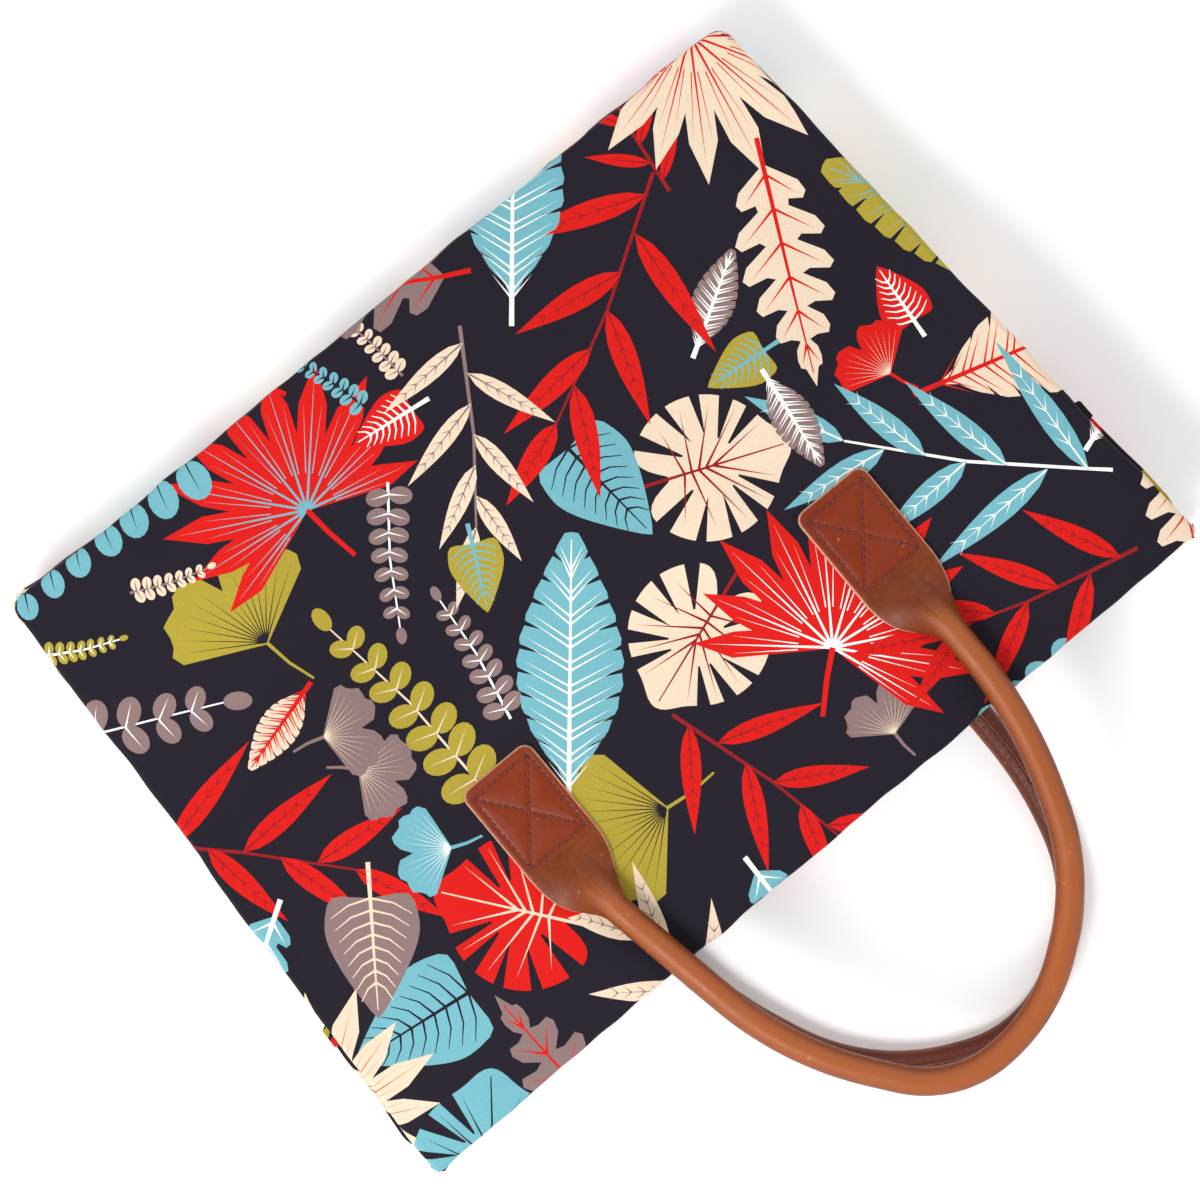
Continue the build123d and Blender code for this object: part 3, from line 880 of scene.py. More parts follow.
def make_walls():
    """The front's and the back's cover, each cut as the plan grown by what turns over the edge."""
    domain = plan_line(EDGE_RADIUS - COVER_REACH, 3.0)
    for name, seed, place in (("front_cover", 21, on_front), ("back_cover", 54, on_back)):
        layers = scatter(domain.min(0), domain.max(0), seed)
        yield printed_mesh(name, domain, layers, place, edge_rings())


BAND_STEP = 4.0


def profile_at(profile, v):
    """A point of a band's section, as its level and its distance out, at a length along it."""
    along = places_along(profile)
    return np.interp(v, along, profile[:, 0]), np.interp(v, along, profile[:, 1])


def band(name, line, profile, layers, grid, swell=None):
    """A band of printed cloth along a line of the plan, with a section of levels and distances out."""
    length, width = length_of(line), length_of(profile)
    step = length / (len(line) - 1)
    out = rightward(unit(np.gradient(line, axis=0)))

    def place(points):
        at = np.clip(points[:, 0], 0, length) / step
        level, reach = profile_at(profile, points[:, 1])
        grid_at = np.arange(len(line))
        base = np.column_stack([np.interp(at, grid_at, line[:, k]) for k in (0, 1)])
        way = np.column_stack([np.interp(at, grid_at, out[:, k]) for k in (0, 1)])
        if swell is not None:
            reach = reach + swell(points[:, 0], points[:, 1] / width)
        xy = base + way * reach[:, None]
        z = level + lift_at(xy[:, 1])
        return np.column_stack([pulled(xy, front_weight(level)), z])

    edge = np.arange(0, length, BAND_STEP)
    domain = np.vstack([
        np.column_stack([edge, np.zeros_like(edge)]),
        np.column_stack([np.full(4, length), np.linspace(0, width, 5)[:4]]),
        np.column_stack([length - edge, np.full_like(edge, width)]),
        np.column_stack([np.zeros(4), np.linspace(width, 0, 5)[:4]]),
    ])
    inner = np.arange(0.5, length, BAND_STEP)
    rings = [np.column_stack([inner, np.full_like(inner, v)]) for v in places_along(profile)[1:-1]]
    return printed_mesh(name, domain, layers, place, rings, grid)


def arc_profile(low, high, out, thickness, radius=0.9, count=5):
    """The outer side of a band's section: in at both edges by its thickness, and rounded over."""
    points = [(low, out - thickness)]
    for k in range(count):
        a = math.pi / 2 * k / (count - 1)
        points.append((low + radius * (1 - math.cos(a)), out - radius * (1 - math.sin(a))))
    for k in range(count):
        a = math.pi / 2 * (1 - k / (count - 1))
        points.append((high - radius * (1 - math.cos(a)), out - radius * (1 - math.sin(a))))
    points.append((high, out - thickness))
    return np.array(points)


def front_weight(level):
    """How much a level follows the front's drawn corners: all at the front, little at the back."""
    return 0.15 + 0.85 * np.clip((level - WALL) / (DEPTH - 2 * WALL), 0, 1)


def make_gusset():
    """The cover round the sides and the bottom. It bulges a little, most near its second bottom corner."""
    side_end = PATCH_LOW + PATCH_LENGTH - PLY_GAP
    half_low, half_high = side_x(BOTTOM_Y), side_x(side_end)
    line = rounded(
        [(-half_high, side_end), (-half_low, BOTTOM_Y), (half_low, BOTTOM_Y), (half_high, side_end)],
        [0, BOTTOM_CORNER, BOTTOM_CORNER, 0], False, 1.5)
    low, high = WALL + 0.05, DEPTH - WALL - 0.05
    rise = [(0, -1.6), (0.1, -0.6), (1.0, 0.0), (5, 0.6)]
    fall = [(high - a, out) for a, out in rise[::-1]]
    profile = np.array([(low + a, out) for a, out in rise] + [((low + high) / 2, 1.0)] + fall)
    sag = ripples(12, 90, 24)
    length = length_of(line)
    bulge_at = (side_end - BOTTOM_Y) + BOTTOM_WIDTH - 8

    def swell(u, v):
        body = np.sin(np.clip(v, 0, 1) * math.pi)
        bulge = 2.6 * np.exp(-(((u - bulge_at) / 14) ** 2))
        ends = smooth_step(u, 0, 12) * (1 - smooth_step(u, length - 12, length))
        return body * (0.5 + 0.6 * sag(u, v * 30) + bulge) * ends

    layers = scatter((0, -6), (length, 40), 77)
    return band("gusset_cover", line, profile, layers, 5.0, swell)


def make_strips():
    """The two printed strips beside the zip, which go round the top corners."""
    side_end = PATCH_LOW + PATCH_LENGTH
    zip_line = TOP_Y - ZIP_RECESS - STRIP_PLY / 2
    inset = STRIP_PLY / 2 - STRIP_PROUD
    half_low, half_high = side_x(side_end) - inset, side_x(zip_line) - inset
    line = rounded(
        [(half_low, side_end), (half_high, zip_line), (-half_high, zip_line), (-half_low, side_end)],
        [0, STRIP_CORNER, STRIP_CORNER, 0], False, 1.5)
    sag = ripples(31, 60, 16)

    def swell(u, v):
        return np.sin(np.clip(v, 0, 1) * math.pi) * (0.35 + 0.45 * sag(u, v * 20))

    middle = DEPTH / 2
    inner, outer = WINDOW_WIDTH / 2, STRIP_REACH
    for name, low, high, seed in (("front", inner, outer, 91), ("back", -outer, -inner, 92)):
        profile = arc_profile(middle + low, middle + high, STRIP_PLY / 2, STRIP_PLY - PLY_GAP)
        layers = scatter((0, -6), (length_of(line), 20), seed)
        piece = band(f"zip_strip_{name}_cover", line, profile, layers, 4.0, swell)
        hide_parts(f"zip_strip_{name}")
        yield piece


def make_patches():
    """The folded patches over the zip's ends."""
    low, high = PATCH_LOW, PATCH_LOW + PATCH_LENGTH - PLY_GAP
    profile = arc_profile(DEPTH / 2 - PATCH_REACH, DEPTH / 2 + PATCH_REACH, 2.5, 2.4)
    for name, side in (("left", -1), ("right", 1)):
        ends = [(side * (side_x(y) + PATCH_PROUD), y) for y in (low, high)]
        line = resample(np.array(ends[::side]), 0.6)
        layers = scatter((-30, -10), (40, 44), 93 + side)
        piece = band(f"zip_end_{name}_cover", line, profile, layers, 3.0)
        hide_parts(f"zip_end_tab_{name}")
        yield piece


# The handles: one strip of leather each, flat and stitched at its ends, and rolled round a cord between them

TUBE_RADIUS = 6.0
ROLL_PLY = 1.5
TAB_PLY = 2.4
TAB_WIDTH = 36.0
TAB_CORNER = 5.0
THROAT = 32.0
LIE_GAP = 0.3
SKIVE = 0.75
SEAM_OPENING = 0.02
END_RUN_SHARE = 0.95
INNER_RUN_SHARE = 0.49
TUBE_STEP = 2.2
TAB_STEP = 0.8
CORNER_STEPS = 8
THROAT_STEPS = 40
AROUND = 57

# Each handle's side of the bag, the middles of its stitched ends, how far beside them its tube starts, and
# the corners that its loop rounds off, as X and height above the bag's top edge
HANDLES = {
    "front": {
        "side": 1,
        "tabs": (-99.5, 79.6),
        "shift": (-3.0, -2.6),
        "loop": [(-102.8, 9.3), (-79.3, 74.6), (-32.7, 110.2), (17.4, 112.1), (60.5, 55.7)],
    },
    "back": {
        "side": -1,
        "tabs": (-90.5, 74.5),
        "shift": (-1.0, -1.4),
        "loop": [(-91.2, 39.7), (-77.4, 85.8), (-24.2, 123.1), (43.1, 91.6), (77.2, 10.0)],
    },
}

# The box of stitches, above the end's lower edge, and its threads
STITCH_INSET = 3.4
BOX_LOW = 4.6
BOX_HIGH = 42.2
STITCH_LENGTH = 2.2
STITCH_GAP = 1.0
THREAD_RADIUS = 0.43
THREAD_SINK = 0.12

# The two rows of stitches beside the tube's seam: their pitch, in steps of the line, and their turn from it
SEAM_LINE_STEP = 0.5
SEAM_PITCH = 7
SEAM_TURN = math.radians(21)
SEAM_THREAD_RADIUS = 0.33


def face_level(facts):
    """Level of the face that a handle is stitched to."""
    return FRONT_FACE if facts["side"] > 0 else LIFT


def loop_line(facts, step):
    """The middle line of the rolled leather, rounded as widely as its corners allow."""
    ends = [(x + shift, FOLD_Y + THROAT) for x, shift in zip(facts["tabs"], facts["shift"])]
    points = [ends[0]] + [(x, TOP_Y + rise) for x, rise in facts["loop"]] + [ends[1]]
    runs = [math.dist(a, b) for a, b in zip(points, points[1:])]
    shares = [END_RUN_SHARE] + [INNER_RUN_SHARE] * (len(runs) - 2) + [END_RUN_SHARE]
    radii = [0]
    for i in range(1, len(points) - 1):
        before = np.subtract(points[i], points[i - 1]) / runs[i - 1]
        after = np.subtract(points[i + 1], points[i]) / runs[i]
        turn = math.acos(float(before @ after))
        radii.append(min(runs[i - 1] * shares[i - 1], runs[i] * shares[i]) / math.tan(turn / 2))
    return rounded(points, radii + [0], False, step)


def tab_half(up, inset):
    """Half of a tab's width at a height above its end, for its outline moved in by an inset."""
    radius = TAB_CORNER - inset
    low = np.clip(radius - (up - inset), 0, radius)
    return TAB_WIDTH / 2 - inset - radius + math.sqrt(radius**2 - low**2)


def leather_stations(facts):
    """Where the strip's sections stand: place, heading, height over the tab's end, and how far it is rolled.
    The height is -1 where the strip has left its stitching."""
    line = loop_line(facts, TUBE_STEP)
    low = TAB_LOW[1]
    stations = []
    for end in (0, 1):
        tab_x = facts["tabs"][end]
        tip = line[0] if end == 0 else line[-1]
        heading = line[1] - line[0] if end == 0 else line[-2] - line[-1]
        heading = heading / np.linalg.norm(heading)
        turns = [math.pi / 2 * k / CORNER_STEPS for k in range(CORNER_STEPS + 1)]
        ups = [TAB_CORNER * (1 - math.cos(turn)) for turn in turns]
        ups += list(np.arange(TAB_CORNER + TAB_STEP, FOLD_Y - low, TAB_STEP))
        half = [(np.array([tab_x, low]), np.array([0.0, 1.0]), up, 0.0) for up in ups]
        for k in range(THROAT_STEPS):
            t = k / THROAT_STEPS
            at = np.array([tab_x + (tip[0] - tab_x) * smooth_step(t, 0, 1), FOLD_Y + THROAT * t])
            way = heading * t + np.array([0, 1.0]) * (1 - t)
            half.append((at, way / np.linalg.norm(way), -1.0, t))
        if end == 0:
            stations += half
            stations += [(p, a, -1.0, 1.0) for p, a in zip(line, unit(np.gradient(line, axis=0)))]
        else:
            stations += [(p, -a, up, t) for p, a, up, t in half[::-1]]
    return stations


def rolled_section(t, mirror):
    """The middle line of the ply at a stage of its rolling. Its left wing closes before its right one."""
    s = np.linspace(-1, 1, AROUND)
    left = (s * mirror) < 0
    roll = np.where(left, t**2.0, t**3.4)
    sigma = TUBE_RADIUS * np.where(left, 1.05 + 0.45 * (1 - t), 1.45 + 0.9 * (1 - t))
    flat_x = s * TAB_WIDTH / 2
    crown = (2 * TUBE_RADIUS - ROLL_PLY - TAB_PLY / 2 + LIE_GAP) * math.sin(t * math.pi / 2) ** 1.2
    flat_z = TAB_PLY / 2 + crown * np.exp(-((flat_x / sigma) ** 2))
    crease = 0.55 * math.sin(math.pi * min(t * 1.1, 1.0)) * np.exp(-(((flat_x * mirror + 7.6) / 1.5) ** 2))
    turn = s * math.pi * (1 - SEAM_OPENING)
    mid_radius = TUBE_RADIUS - ROLL_PLY / 2
    round_x = mid_radius * np.sin(turn)
    round_z = LIE_GAP + TUBE_RADIUS + mid_radius * np.cos(turn)
    x = (1 - roll) * flat_x + roll * round_x
    z = (1 - roll) * (flat_z - crease) + roll * round_z
    return np.column_stack([x, z])


def dimple(x, up):
    """How deep the leather is drawn in along its box of stitches, and how it swells between them."""
    half = TAB_WIDTH / 2 - STITCH_INSET
    away = []
    for a, b in box_lines(half):
        run = np.subtract(b, a)
        t = np.clip(((x - a[0]) * run[0] + (up - a[1]) * run[1]) / float(run @ run), 0, 1)
        away.append(np.hypot(x - a[0] - t * run[0], up - a[1] - t * run[1]))
    near = np.min(away, axis=0)
    return -0.34 * np.exp(-((near / 0.9) ** 2)) + 0.30 * smooth_step(near, 0.5, 5.5)


def box_lines(half):
    """The runs of stitches on a handle's end: four sides and a cross."""
    corners = [(-half, BOX_LOW), (half, BOX_LOW), (half, BOX_HIGH), (-half, BOX_HIGH)]
    sides = list(zip(corners, corners[1:] + corners[:1]))
    return sides + [(corners[0], corners[2]), (corners[1], corners[3])]


def strip_section(up, t, mirror):
    """Outer and inner side of the strip's section, each across and up, and the outer one's height."""
    s = np.linspace(-1, 1, AROUND)
    if up >= 0:
        skived = SKIVE + up * (1 - SKIVE / (FOLD_Y - TAB_LOW[1]))
        outer_x = s * tab_half(skived, SKIVE)
        inner_x = s * tab_half(up, 0.0)
        relief = dimple(outer_x, skived) * smooth_step(TAB_WIDTH / 2 - SKIVE - np.abs(outer_x), 0, 1.6)
        relief = relief * smooth_step(skived, SKIVE, SKIVE + 1.6)
        outer = np.column_stack([outer_x, TAB_PLY + relief - 0.35 * np.abs(s) ** 14])
        return outer, np.column_stack([inner_x, np.zeros(AROUND)]), skived
    middle = rolled_section(t, mirror)
    ply = TAB_PLY + (ROLL_PLY - TAB_PLY) * t
    tangent = unit(np.gradient(middle, axis=0))
    normal = -rightward(tangent)
    outer = middle + normal * ply / 2
    inner = middle - normal * ply / 2
    skive = SKIVE * (1 - smooth_step(t, 0.7, 1.0))
    outer -= tangent * (s * np.abs(s) ** 6)[:, None] * skive
    outer[:, 1] -= 0.35 * np.abs(s) ** 14 * (1 - smooth_step(t, 0.0, 0.6))
    return outer, inner, up


def make_leather(name, facts):
    """A handle's strip as one closed mesh, with a tint for the stitched box, painted shade on the seam side
    and a painted highlight along the crown.
    """
    side = facts["side"]
    base = face_level(facts)
    stations = leather_stations(facts)
    outer_rows, inner_rows, boxed, seam_shade, crown_highlight = [], [], [], [], []
    s = np.abs(np.linspace(-1, 1, AROUND))
    for i, (at, ahead, up, t) in enumerate(stations):
        mirror = 1 if i < len(stations) / 2 else -1
        outer, inner, skived = strip_section(up, t, mirror)
        across = np.array([ahead[1], -ahead[0]])
        for rows, section, height in ((outer_rows, outer, skived), (inner_rows, inner, up)):
            start = at + np.array([0, height]) if up >= 0 else at
            rows.append(np.column_stack([start + across * section[:, :1], base + side * section[:, 1]]))
        boxed.append(np.full(AROUND, 1 - smooth_step(up, BOX_HIGH - 1.5, BOX_HIGH + 2.5) if up >= 0 else 0.0))
        # painted shade: the seam side of the roll, which faces the bag on the front handle, is marked for
        # darkening
        seam_shade.append(smooth_step(s, 0.5, 0.8) * smooth_step(t, 0.5, 1.0))
        # painted highlight: a lighter band along the crown of the roll
        crown_highlight.append((1 - smooth_step(s, 0.1, 0.45)) * smooth_step(t, 0.35, 1.0))
    rings = len(stations)
    co = np.vstack([np.vstack(outer_rows), np.vstack(inner_rows)])
    faces, kinds = [], []

    def quad(a, b, c, d, kind):
        """A face of the grain side, kind 0, or of the cut and inner side, kind 1."""
        faces.append((a, b, c, d))
        kinds.append(kind)

    under = rings * AROUND
    for i in range(rings - 1):
        first, last = i * AROUND, i * AROUND + AROUND - 1
        for a in range(first, last):
            b = a + 1
            quad(a, b, b + AROUND, a + AROUND, 0)
            quad(under + b, under + a, under + a + AROUND, under + b + AROUND, 1)
        quad(under + first, first, first + AROUND, under + first + AROUND, 1)
        quad(last, under + last, under + last + AROUND, last + AROUND, 1)
    end = (rings - 1) * AROUND
    for j in range(AROUND - 1):
        quad(under + j, under + j + 1, j + 1, j, 1)
        quad(end + j, end + j + 1, under + end + j + 1, under + end + j, 1)
    mesh = bpy.data.meshes.new(name)
    mesh.from_pydata([tuple(p * MM) for p in co], [], faces)
    mesh.polygons.foreach_set("material_index", kinds)
    for label, values in (("box_tint", boxed), ("seam_tint", seam_shade), ("crown_tint", crown_highlight)):
        tint = mesh.attributes.new(label, "FLOAT", "POINT")
        tint.data.foreach_set("value", np.tile(np.concatenate(values), 2).astype(np.float32))
    mark_sharp(mesh, 0.6)
    return add_object(name, mesh)


def mark_sharp(mesh, angle):
    """Smooth shading, with the edges sharper than an angle kept crisp."""
    bm = bmesh.new()
    bm.from_mesh(mesh)
    bmesh.ops.recalc_face_normals(bm, faces=bm.faces)
    for face in bm.faces:
        face.smooth = True
    for edge in bm.edges:
        if len(edge.link_faces) == 2 and edge.calc_face_angle(0) > angle:
            edge.smooth = False
    bm.to_mesh(mesh)
    bm.free()


# A stitch's rings: their share of its length, of its radius, and their height over its line
STITCH_RINGS = ((0.0, 0.45, -0.5), (0.12, 0.85, 0.1), (0.5, 1.0, 0.45), (0.88, 0.85, 0.1), (1.0, 0.45, -0.5))
STITCH_SIDES = 6


def stitch_mesh(name, stitches, radius):
    """Threads as short rounded rods, each between two points and sunk at both ends."""
    bm = bmesh.new()
    for start, end, out in stitches:
        start, end, out = np.array(start, float), np.array(end, float), np.array(out, float)
        run = end - start
        side = np.cross(run / np.linalg.norm(run), out)
        rows = []
        for t, swell, rise in STITCH_RINGS:
            centre = start + run * t + out * rise * radius
            row = []
            for k in range(STITCH_SIDES):
                a = math.tau * k / STITCH_SIDES
                around = side * math.cos(a) + out * math.sin(a)
                row.append(bm.verts.new((centre + around * radius * swell) * MM))
            rows.append(row)
        for low, high in zip(rows, rows[1:]):
            for k in range(STITCH_SIDES):
                after = (k + 1) % STITCH_SIDES
                bm.faces.new((low[k], low[after], high[after], high[k]))
        bm.faces.new(rows[0][::-1])
        bm.faces.new(rows[-1])
    bmesh.ops.recalc_face_normals(bm, faces=bm.faces)
    for face in bm.faces:
        face.smooth = True
    mesh = bpy.data.meshes.new(name)
    bm.to_mesh(mesh)
    bm.free()
    return add_object(name, mesh)


def along_run(a, b, dice):
    """Stitches of nearly even length along a straight run, as pairs of ends."""
    a, b = np.array(a, float), np.array(b, float)
    length = np.linalg.norm(b - a)
    count = max(1, round(length / (STITCH_LENGTH + STITCH_GAP)))
    pitch = length / count
    way = (b - a) / length
    side = np.array([-way[1], way[0]])
    for k in range(count):
        start = a + way * (k * pitch + STITCH_GAP / 2)
        end = a + way * ((k + 1) * pitch - STITCH_GAP / 2)
        yield start + side * dice.uniform(-0.12, 0.12), end + side * dice.uniform(-0.12, 0.12)


def make_tab_stitches(name, facts):
    """The box and cross of stitches on a handle's two ends."""
    side = facts["side"]
    level = face_level(facts) + side * (TAB_PLY - THREAD_SINK)
    dice = random.Random(5)
    stitches = []
    for x in facts["tabs"]:
        for a, b in box_lines(TAB_WIDTH / 2 - STITCH_INSET):
            for pair in along_run(a, b, dice):
                start, end = ((x + p[0], TAB_LOW[1] + p[1], level) for p in pair)
                stitches.append((start, end, (0, 0, side)))
    return stitch_mesh(name, stitches, THREAD_RADIUS)


def make_seam_stitches(name, facts):
    """Two rows of stitches beside the seam of the rolled leather, on its side towards the bag."""
    side = facts["side"]
    line = loop_line(facts, SEAM_LINE_STEP)
    centre = face_level(facts) + side * (LIE_GAP + TUBE_RADIUS)
    stitches = []
    for row in (-1, 1):
        for k in range(SEAM_PITCH, len(line) - 2 * SEAM_PITCH, SEAM_PITCH):
            ends = []
            for i in (k, k + SEAM_PITCH - 2):
                ahead = line[i + 1] - line[i]
                ahead = ahead / np.linalg.norm(ahead)
                across = np.array([ahead[1], -ahead[0]]) * row
                out = np.array([*(across * math.sin(SEAM_TURN)), -side * math.cos(SEAM_TURN)])
                ends.append(np.array([*line[i], centre]) + out * TUBE_RADIUS)
            stitches.append((ends[0], ends[1], out))
    return stitch_mesh(name, stitches, SEAM_THREAD_RADIUS)


# The zip's chain

TOOTH_PITCH = 1.5
TOOTH_RADIUS = 0.52
TOOTH_HEAD = 0.62
TOOTH_HEEL = 1.0
COIL_WIDTH = 2.4
COIL_INSET = 0.8
COIL_CORNER = STRIP_CORNER - 1
COIL_MIDDLE = box_mm("zip_coil_front")[0][2] - ZIP_LEVEL + COIL_WIDTH / 2


def make_teeth():
    """Two rows of coil teeth that stand in each other's gaps along the zip."""
    low, high = box_mm("zip_coil_front")
    half_high = high[0] - COIL_INSET
    half_low = half_high - side_x(high[1]) + side_x(low[1])
    top = high[1] - COIL_INSET
    line = rounded(
        [(half_low, low[1]), (half_high, top), (-half_high, top), (-half_low, low[1])],
        [0, COIL_CORNER, COIL_CORNER, 0], False, TOOTH_PITCH / 2)
    ahead = unit(np.gradient(line, axis=0))
    for name, side, first in (("front", 1, 1), ("back", -1, 2)):
        stitches = []
        for k in range(first, len(line) - 1, 2):
            out = np.array([ahead[k][1], -ahead[k][0], 0])
            level = DEPTH / 2 + float(lift_at(line[k][1]))
            head = np.array([*line[k], level + side * TOOTH_HEAD])
            heel = np.array([*(line[k] + ahead[k] * 0.2), level + side * (COIL_MIDDLE + TOOTH_HEEL)])
            stitches.append((head, heel, out))
        piece = stitch_mesh(f"zip_teeth_{name}", stitches, TOOTH_RADIUS)
        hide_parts(f"zip_coil_{name}")
        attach(piece, "bag")
        yield piece


# Materials


class Shader:
    """A material's nodes, with short ways to add and join them."""

    def __init__(self, name):
        self.material = bpy.data.materials.new(name)
        self.material.use_nodes = True
        self.tree = self.material.node_tree
        self.bsdf = self.tree.nodes["Principled BSDF"]

    def put(self, value, socket):
        """Link a socket to another one's output, or set it to a constant."""
        if isinstance(value, bpy.types.NodeSocket):
            self.tree.links.new(value, socket)
        else:
            socket.default_value = value

    def node(self, kind, **values):
        """A new node, with its sockets and settings by name."""
        made = self.tree.nodes.new(kind)
        for key, value in values.items():
            socket = made.inputs.get(key.replace("_", " "))
            if socket is None:
                setattr(made, key, value)
            else:
                self.put(value, socket)
        return made

    def place(self):
        return self.node("ShaderNodeTexCoord").outputs["Object"]

    def noise(self, scale, detail=2.0):
        return self.node("ShaderNodeTexNoise", Vector=self.place(), Scale=scale, Detail=detail).outputs["Fac"]

    def ramp(self, value, stops):
        made = self.node("ShaderNodeValToRGB", Fac=value)
        points = made.color_ramp.elements
        while len(points) < len(stops):
            points.new(0.5)
        for point, (at, colour) in zip(points, stops):
            point.position = at
            point.color = colour
        return made.outputs["Color"]

    def maths(self, operation, a, b=0.0):
        made = self.node("ShaderNodeMath", operation=operation)
        for socket, value in zip(made.inputs, (a, b)):
            self.put(value, socket)
        return made.outputs[0]

    def mix(self, share, a, b, blend="MIX"):
        made = self.node("ShaderNodeMix", data_type="RGBA", blend_type=blend)
        for index, value in ((0, share), (6, a), (7, b)):
            self.put(value, made.inputs[index])
        return made.outputs[2]

    def attribute(self, name, output):
        return self.node("ShaderNodeAttribute", attribute_name=name).outputs[output]

    def bump(self, height, strength, distance):
        made = self.node("ShaderNodeBump", Height=height, Strength=strength, Distance=distance)
        self.put(made.outputs["Normal"], self.bsdf.inputs["Normal"])

    def surface(self, **values):
        for key, value in values.items():
            self.put(value, self.bsdf.inputs[key.replace("_", " ")])
        return self.material


def grey(value):
    return (value, value, value, 1.0)


def two_tone(shader, scale, dark, light, detail=3.0):
    """Two near colours, given as sRGB, in a fine grain."""
    return shader.ramp(shader.noise(scale, detail), [(0.3, linear(dark)), (0.7, linear(light))])


def shade(shader, scale, detail, low, high, marks=(0.3, 0.7)):
    """A grey value that wanders between two levels."""
    return shader.ramp(shader.noise(scale, detail), list(zip(marks, (grey(low), grey(high)))))


def weave(shader, pitch):
    """Plain weave: two sets of threads that pass over and under each other, as a height."""
    waves = []
    for axis in ("X", "Y"):
        made = shader.node(
            "ShaderNodeTexWave", wave_type="BANDS", bands_direction=axis, Vector=shader.place(),
            Scale=1 / (pitch * MM * 3.2), Distortion=0.6, Detail_Scale=2.0)
        waves.append(made.outputs["Fac"])
    return shader.maths("MULTIPLY", *waves)


def printed_material():
    s = Shader("printed cloth")
    cloud = shade(s, 14.0, 3.0, 0.90, 1.0)
    grain = shade(s, 2600.0, 2.0, 0.86, 1.06, (0.25, 0.75))
    print_colour = s.mix(1.0, s.attribute("print", "Color"), cloud, "MULTIPLY")
    colour = s.mix(1.0, print_colour, grain, "MULTIPLY")
    s.bump(s.maths("ADD", weave(s, 0.55), s.maths("MULTIPLY", s.noise(900.0), 0.6)), 0.35, 0.00025)
    return s.surface(Base_Color=colour, Roughness=0.72, Specular_IOR_Level=0.16)


def leather_material():
    s = Shader("tan leather")
    tans = ((0.3, (106, 45, 14)), (0.55, (124, 57, 20)), (0.75, (140, 69, 28)))
    base = s.ramp(s.noise(24.0, 4.0), [(at, linear(rgb)) for at, rgb in tans])
    colour = s.mix(1.0, base, shade(s, 420.0, 4.0, 0.80, 1.04), "MULTIPLY")
    tints = (
        # painted highlight: the crown of the roll turned lighter and oranger
        ("crown_tint", 0.65, (172, 96, 52)),
        ("box_tint", 0.75, (124, 42, 15)),
        # painted shade: the seam side of the roll darkened to purple-brown
        ("seam_tint", 0.8, (84, 38, 30)),
    )
    for name, share, rgb in tints:
        colour = s.mix(s.maths("MULTIPLY", s.attribute(name, "Fac"), share), colour, linear(rgb))
    colour = s.mix(shade(s, 260.0, 7.0, 0.0, 0.5, (0.70, 0.76)), colour, linear((196, 140, 100)))
    pores = s.node("ShaderNodeTexVoronoi", Vector=s.place(), Scale=1500.0).outputs["Distance"]
    s.bump(s.maths("ADD", s.maths("MULTIPLY", pores, 0.5), s.noise(300.0, 4.0)), 0.35, 0.0003)
    return s.surface(Base_Color=colour, Roughness=shade(s, 90.0, 3.0, 0.34, 0.50), Specular_IOR_Level=0.22)


def cut_leather_material():
    s = Shader("cut leather")
    s.bump(s.noise(1500.0, 3.0), 0.5, 0.0003)
    return s.surface(Base_Color=two_tone(s, 700.0, (176, 118, 92), (214, 166, 138), 4.0), Roughness=0.9)


def fibre_material(name, dark, light, rough, scale, strength=0.5, distance=0.0003):
    """Thread, cord, coil and foam: two near colours in a fine grain, with a finer one as relief."""
    s = Shader(name)
    s.bump(s.noise(scale * 1.6, 3.0), strength, distance)
    return s.surface(Base_Color=two_tone(s, scale, dark, light), Roughness=rough)


def woven_material(name, dark, light, pitch):
    """Lining, tape and canvas: a plain weave, darker between its threads."""
    s = Shader(name)
    threads = weave(s, pitch)
    colour = s.mix(s.ramp(threads, [(0.2, grey(0)), (0.8, grey(1))]), linear(dark), linear(light))
    s.bump(threads, 0.6, 0.0003)
    return s.surface(Base_Color=colour, Roughness=0.8)


def metal_material():
    s = Shader("antique brass")
    colour = two_tone(s, 600.0, (120, 98, 66), (176, 150, 104), 4.0)
    s.bump(s.noise(900.0, 3.0), 0.15, 0.0002)
    return s.surface(Base_Color=colour, Metallic=1.0, Roughness=shade(s, 350.0, 3.0, 0.24, 0.42))


MATERIALS = {
    "printed_fabric": printed_material(),
    "leather": leather_material(),
    "cut_leather": cut_leather_material(),
    "thread": fibre_material("red brown thread", (56, 14, 10), (128, 58, 44), 0.6, 1500.0),
    "lining": woven_material("navy lining", (24, 26, 40), (44, 46, 66), 0.4),
    "foam": fibre_material("grey foam", (88, 88, 92), (128, 128, 134), 0.95, 1800.0, 0.8),
    "zip_tape": woven_material("zip tape", (18, 18, 24), (44, 44, 54), 0.7),
    "zip_coil": fibre_material("zip coil", (22, 22, 28), (48, 48, 58), 0.42, 900.0, 0.2),
    "zip_metal": metal_material(),
    "core_cord": fibre_material("cotton cord", (190, 180, 160), (226, 218, 200), 0.95, 1200.0, 0.7, 0.0005),
    "backing": woven_material("canvas backing", (60, 56, 52), (104, 98, 90), 0.8),
}


def dress(piece, *names):
    """Give a piece its materials, in the order of its faces' material numbers."""
    if piece.data.materials:
        piece.data.materials.clear()
    for name in names:
        piece.data.materials.append(MATERIALS[name])


# Words in a CAD node's name that tell its material; the first that fits counts
NODE_WORDS = (
    ("printed_fabric", ("panel", "strip", "end_tab", "main_gusset")),
    ("foam", ("foam",)),
    ("lining", ("lining", "pocket", "divider")),
    ("core_cord", ("core",)),
    ("backing", ("backing",)),
    ("zip_tape", ("tape",)),
    ("zip_coil", ("coil",)),
    ("zip_metal", ("slider", "pull")),
    ("leather", ("handle", "tab")),
)


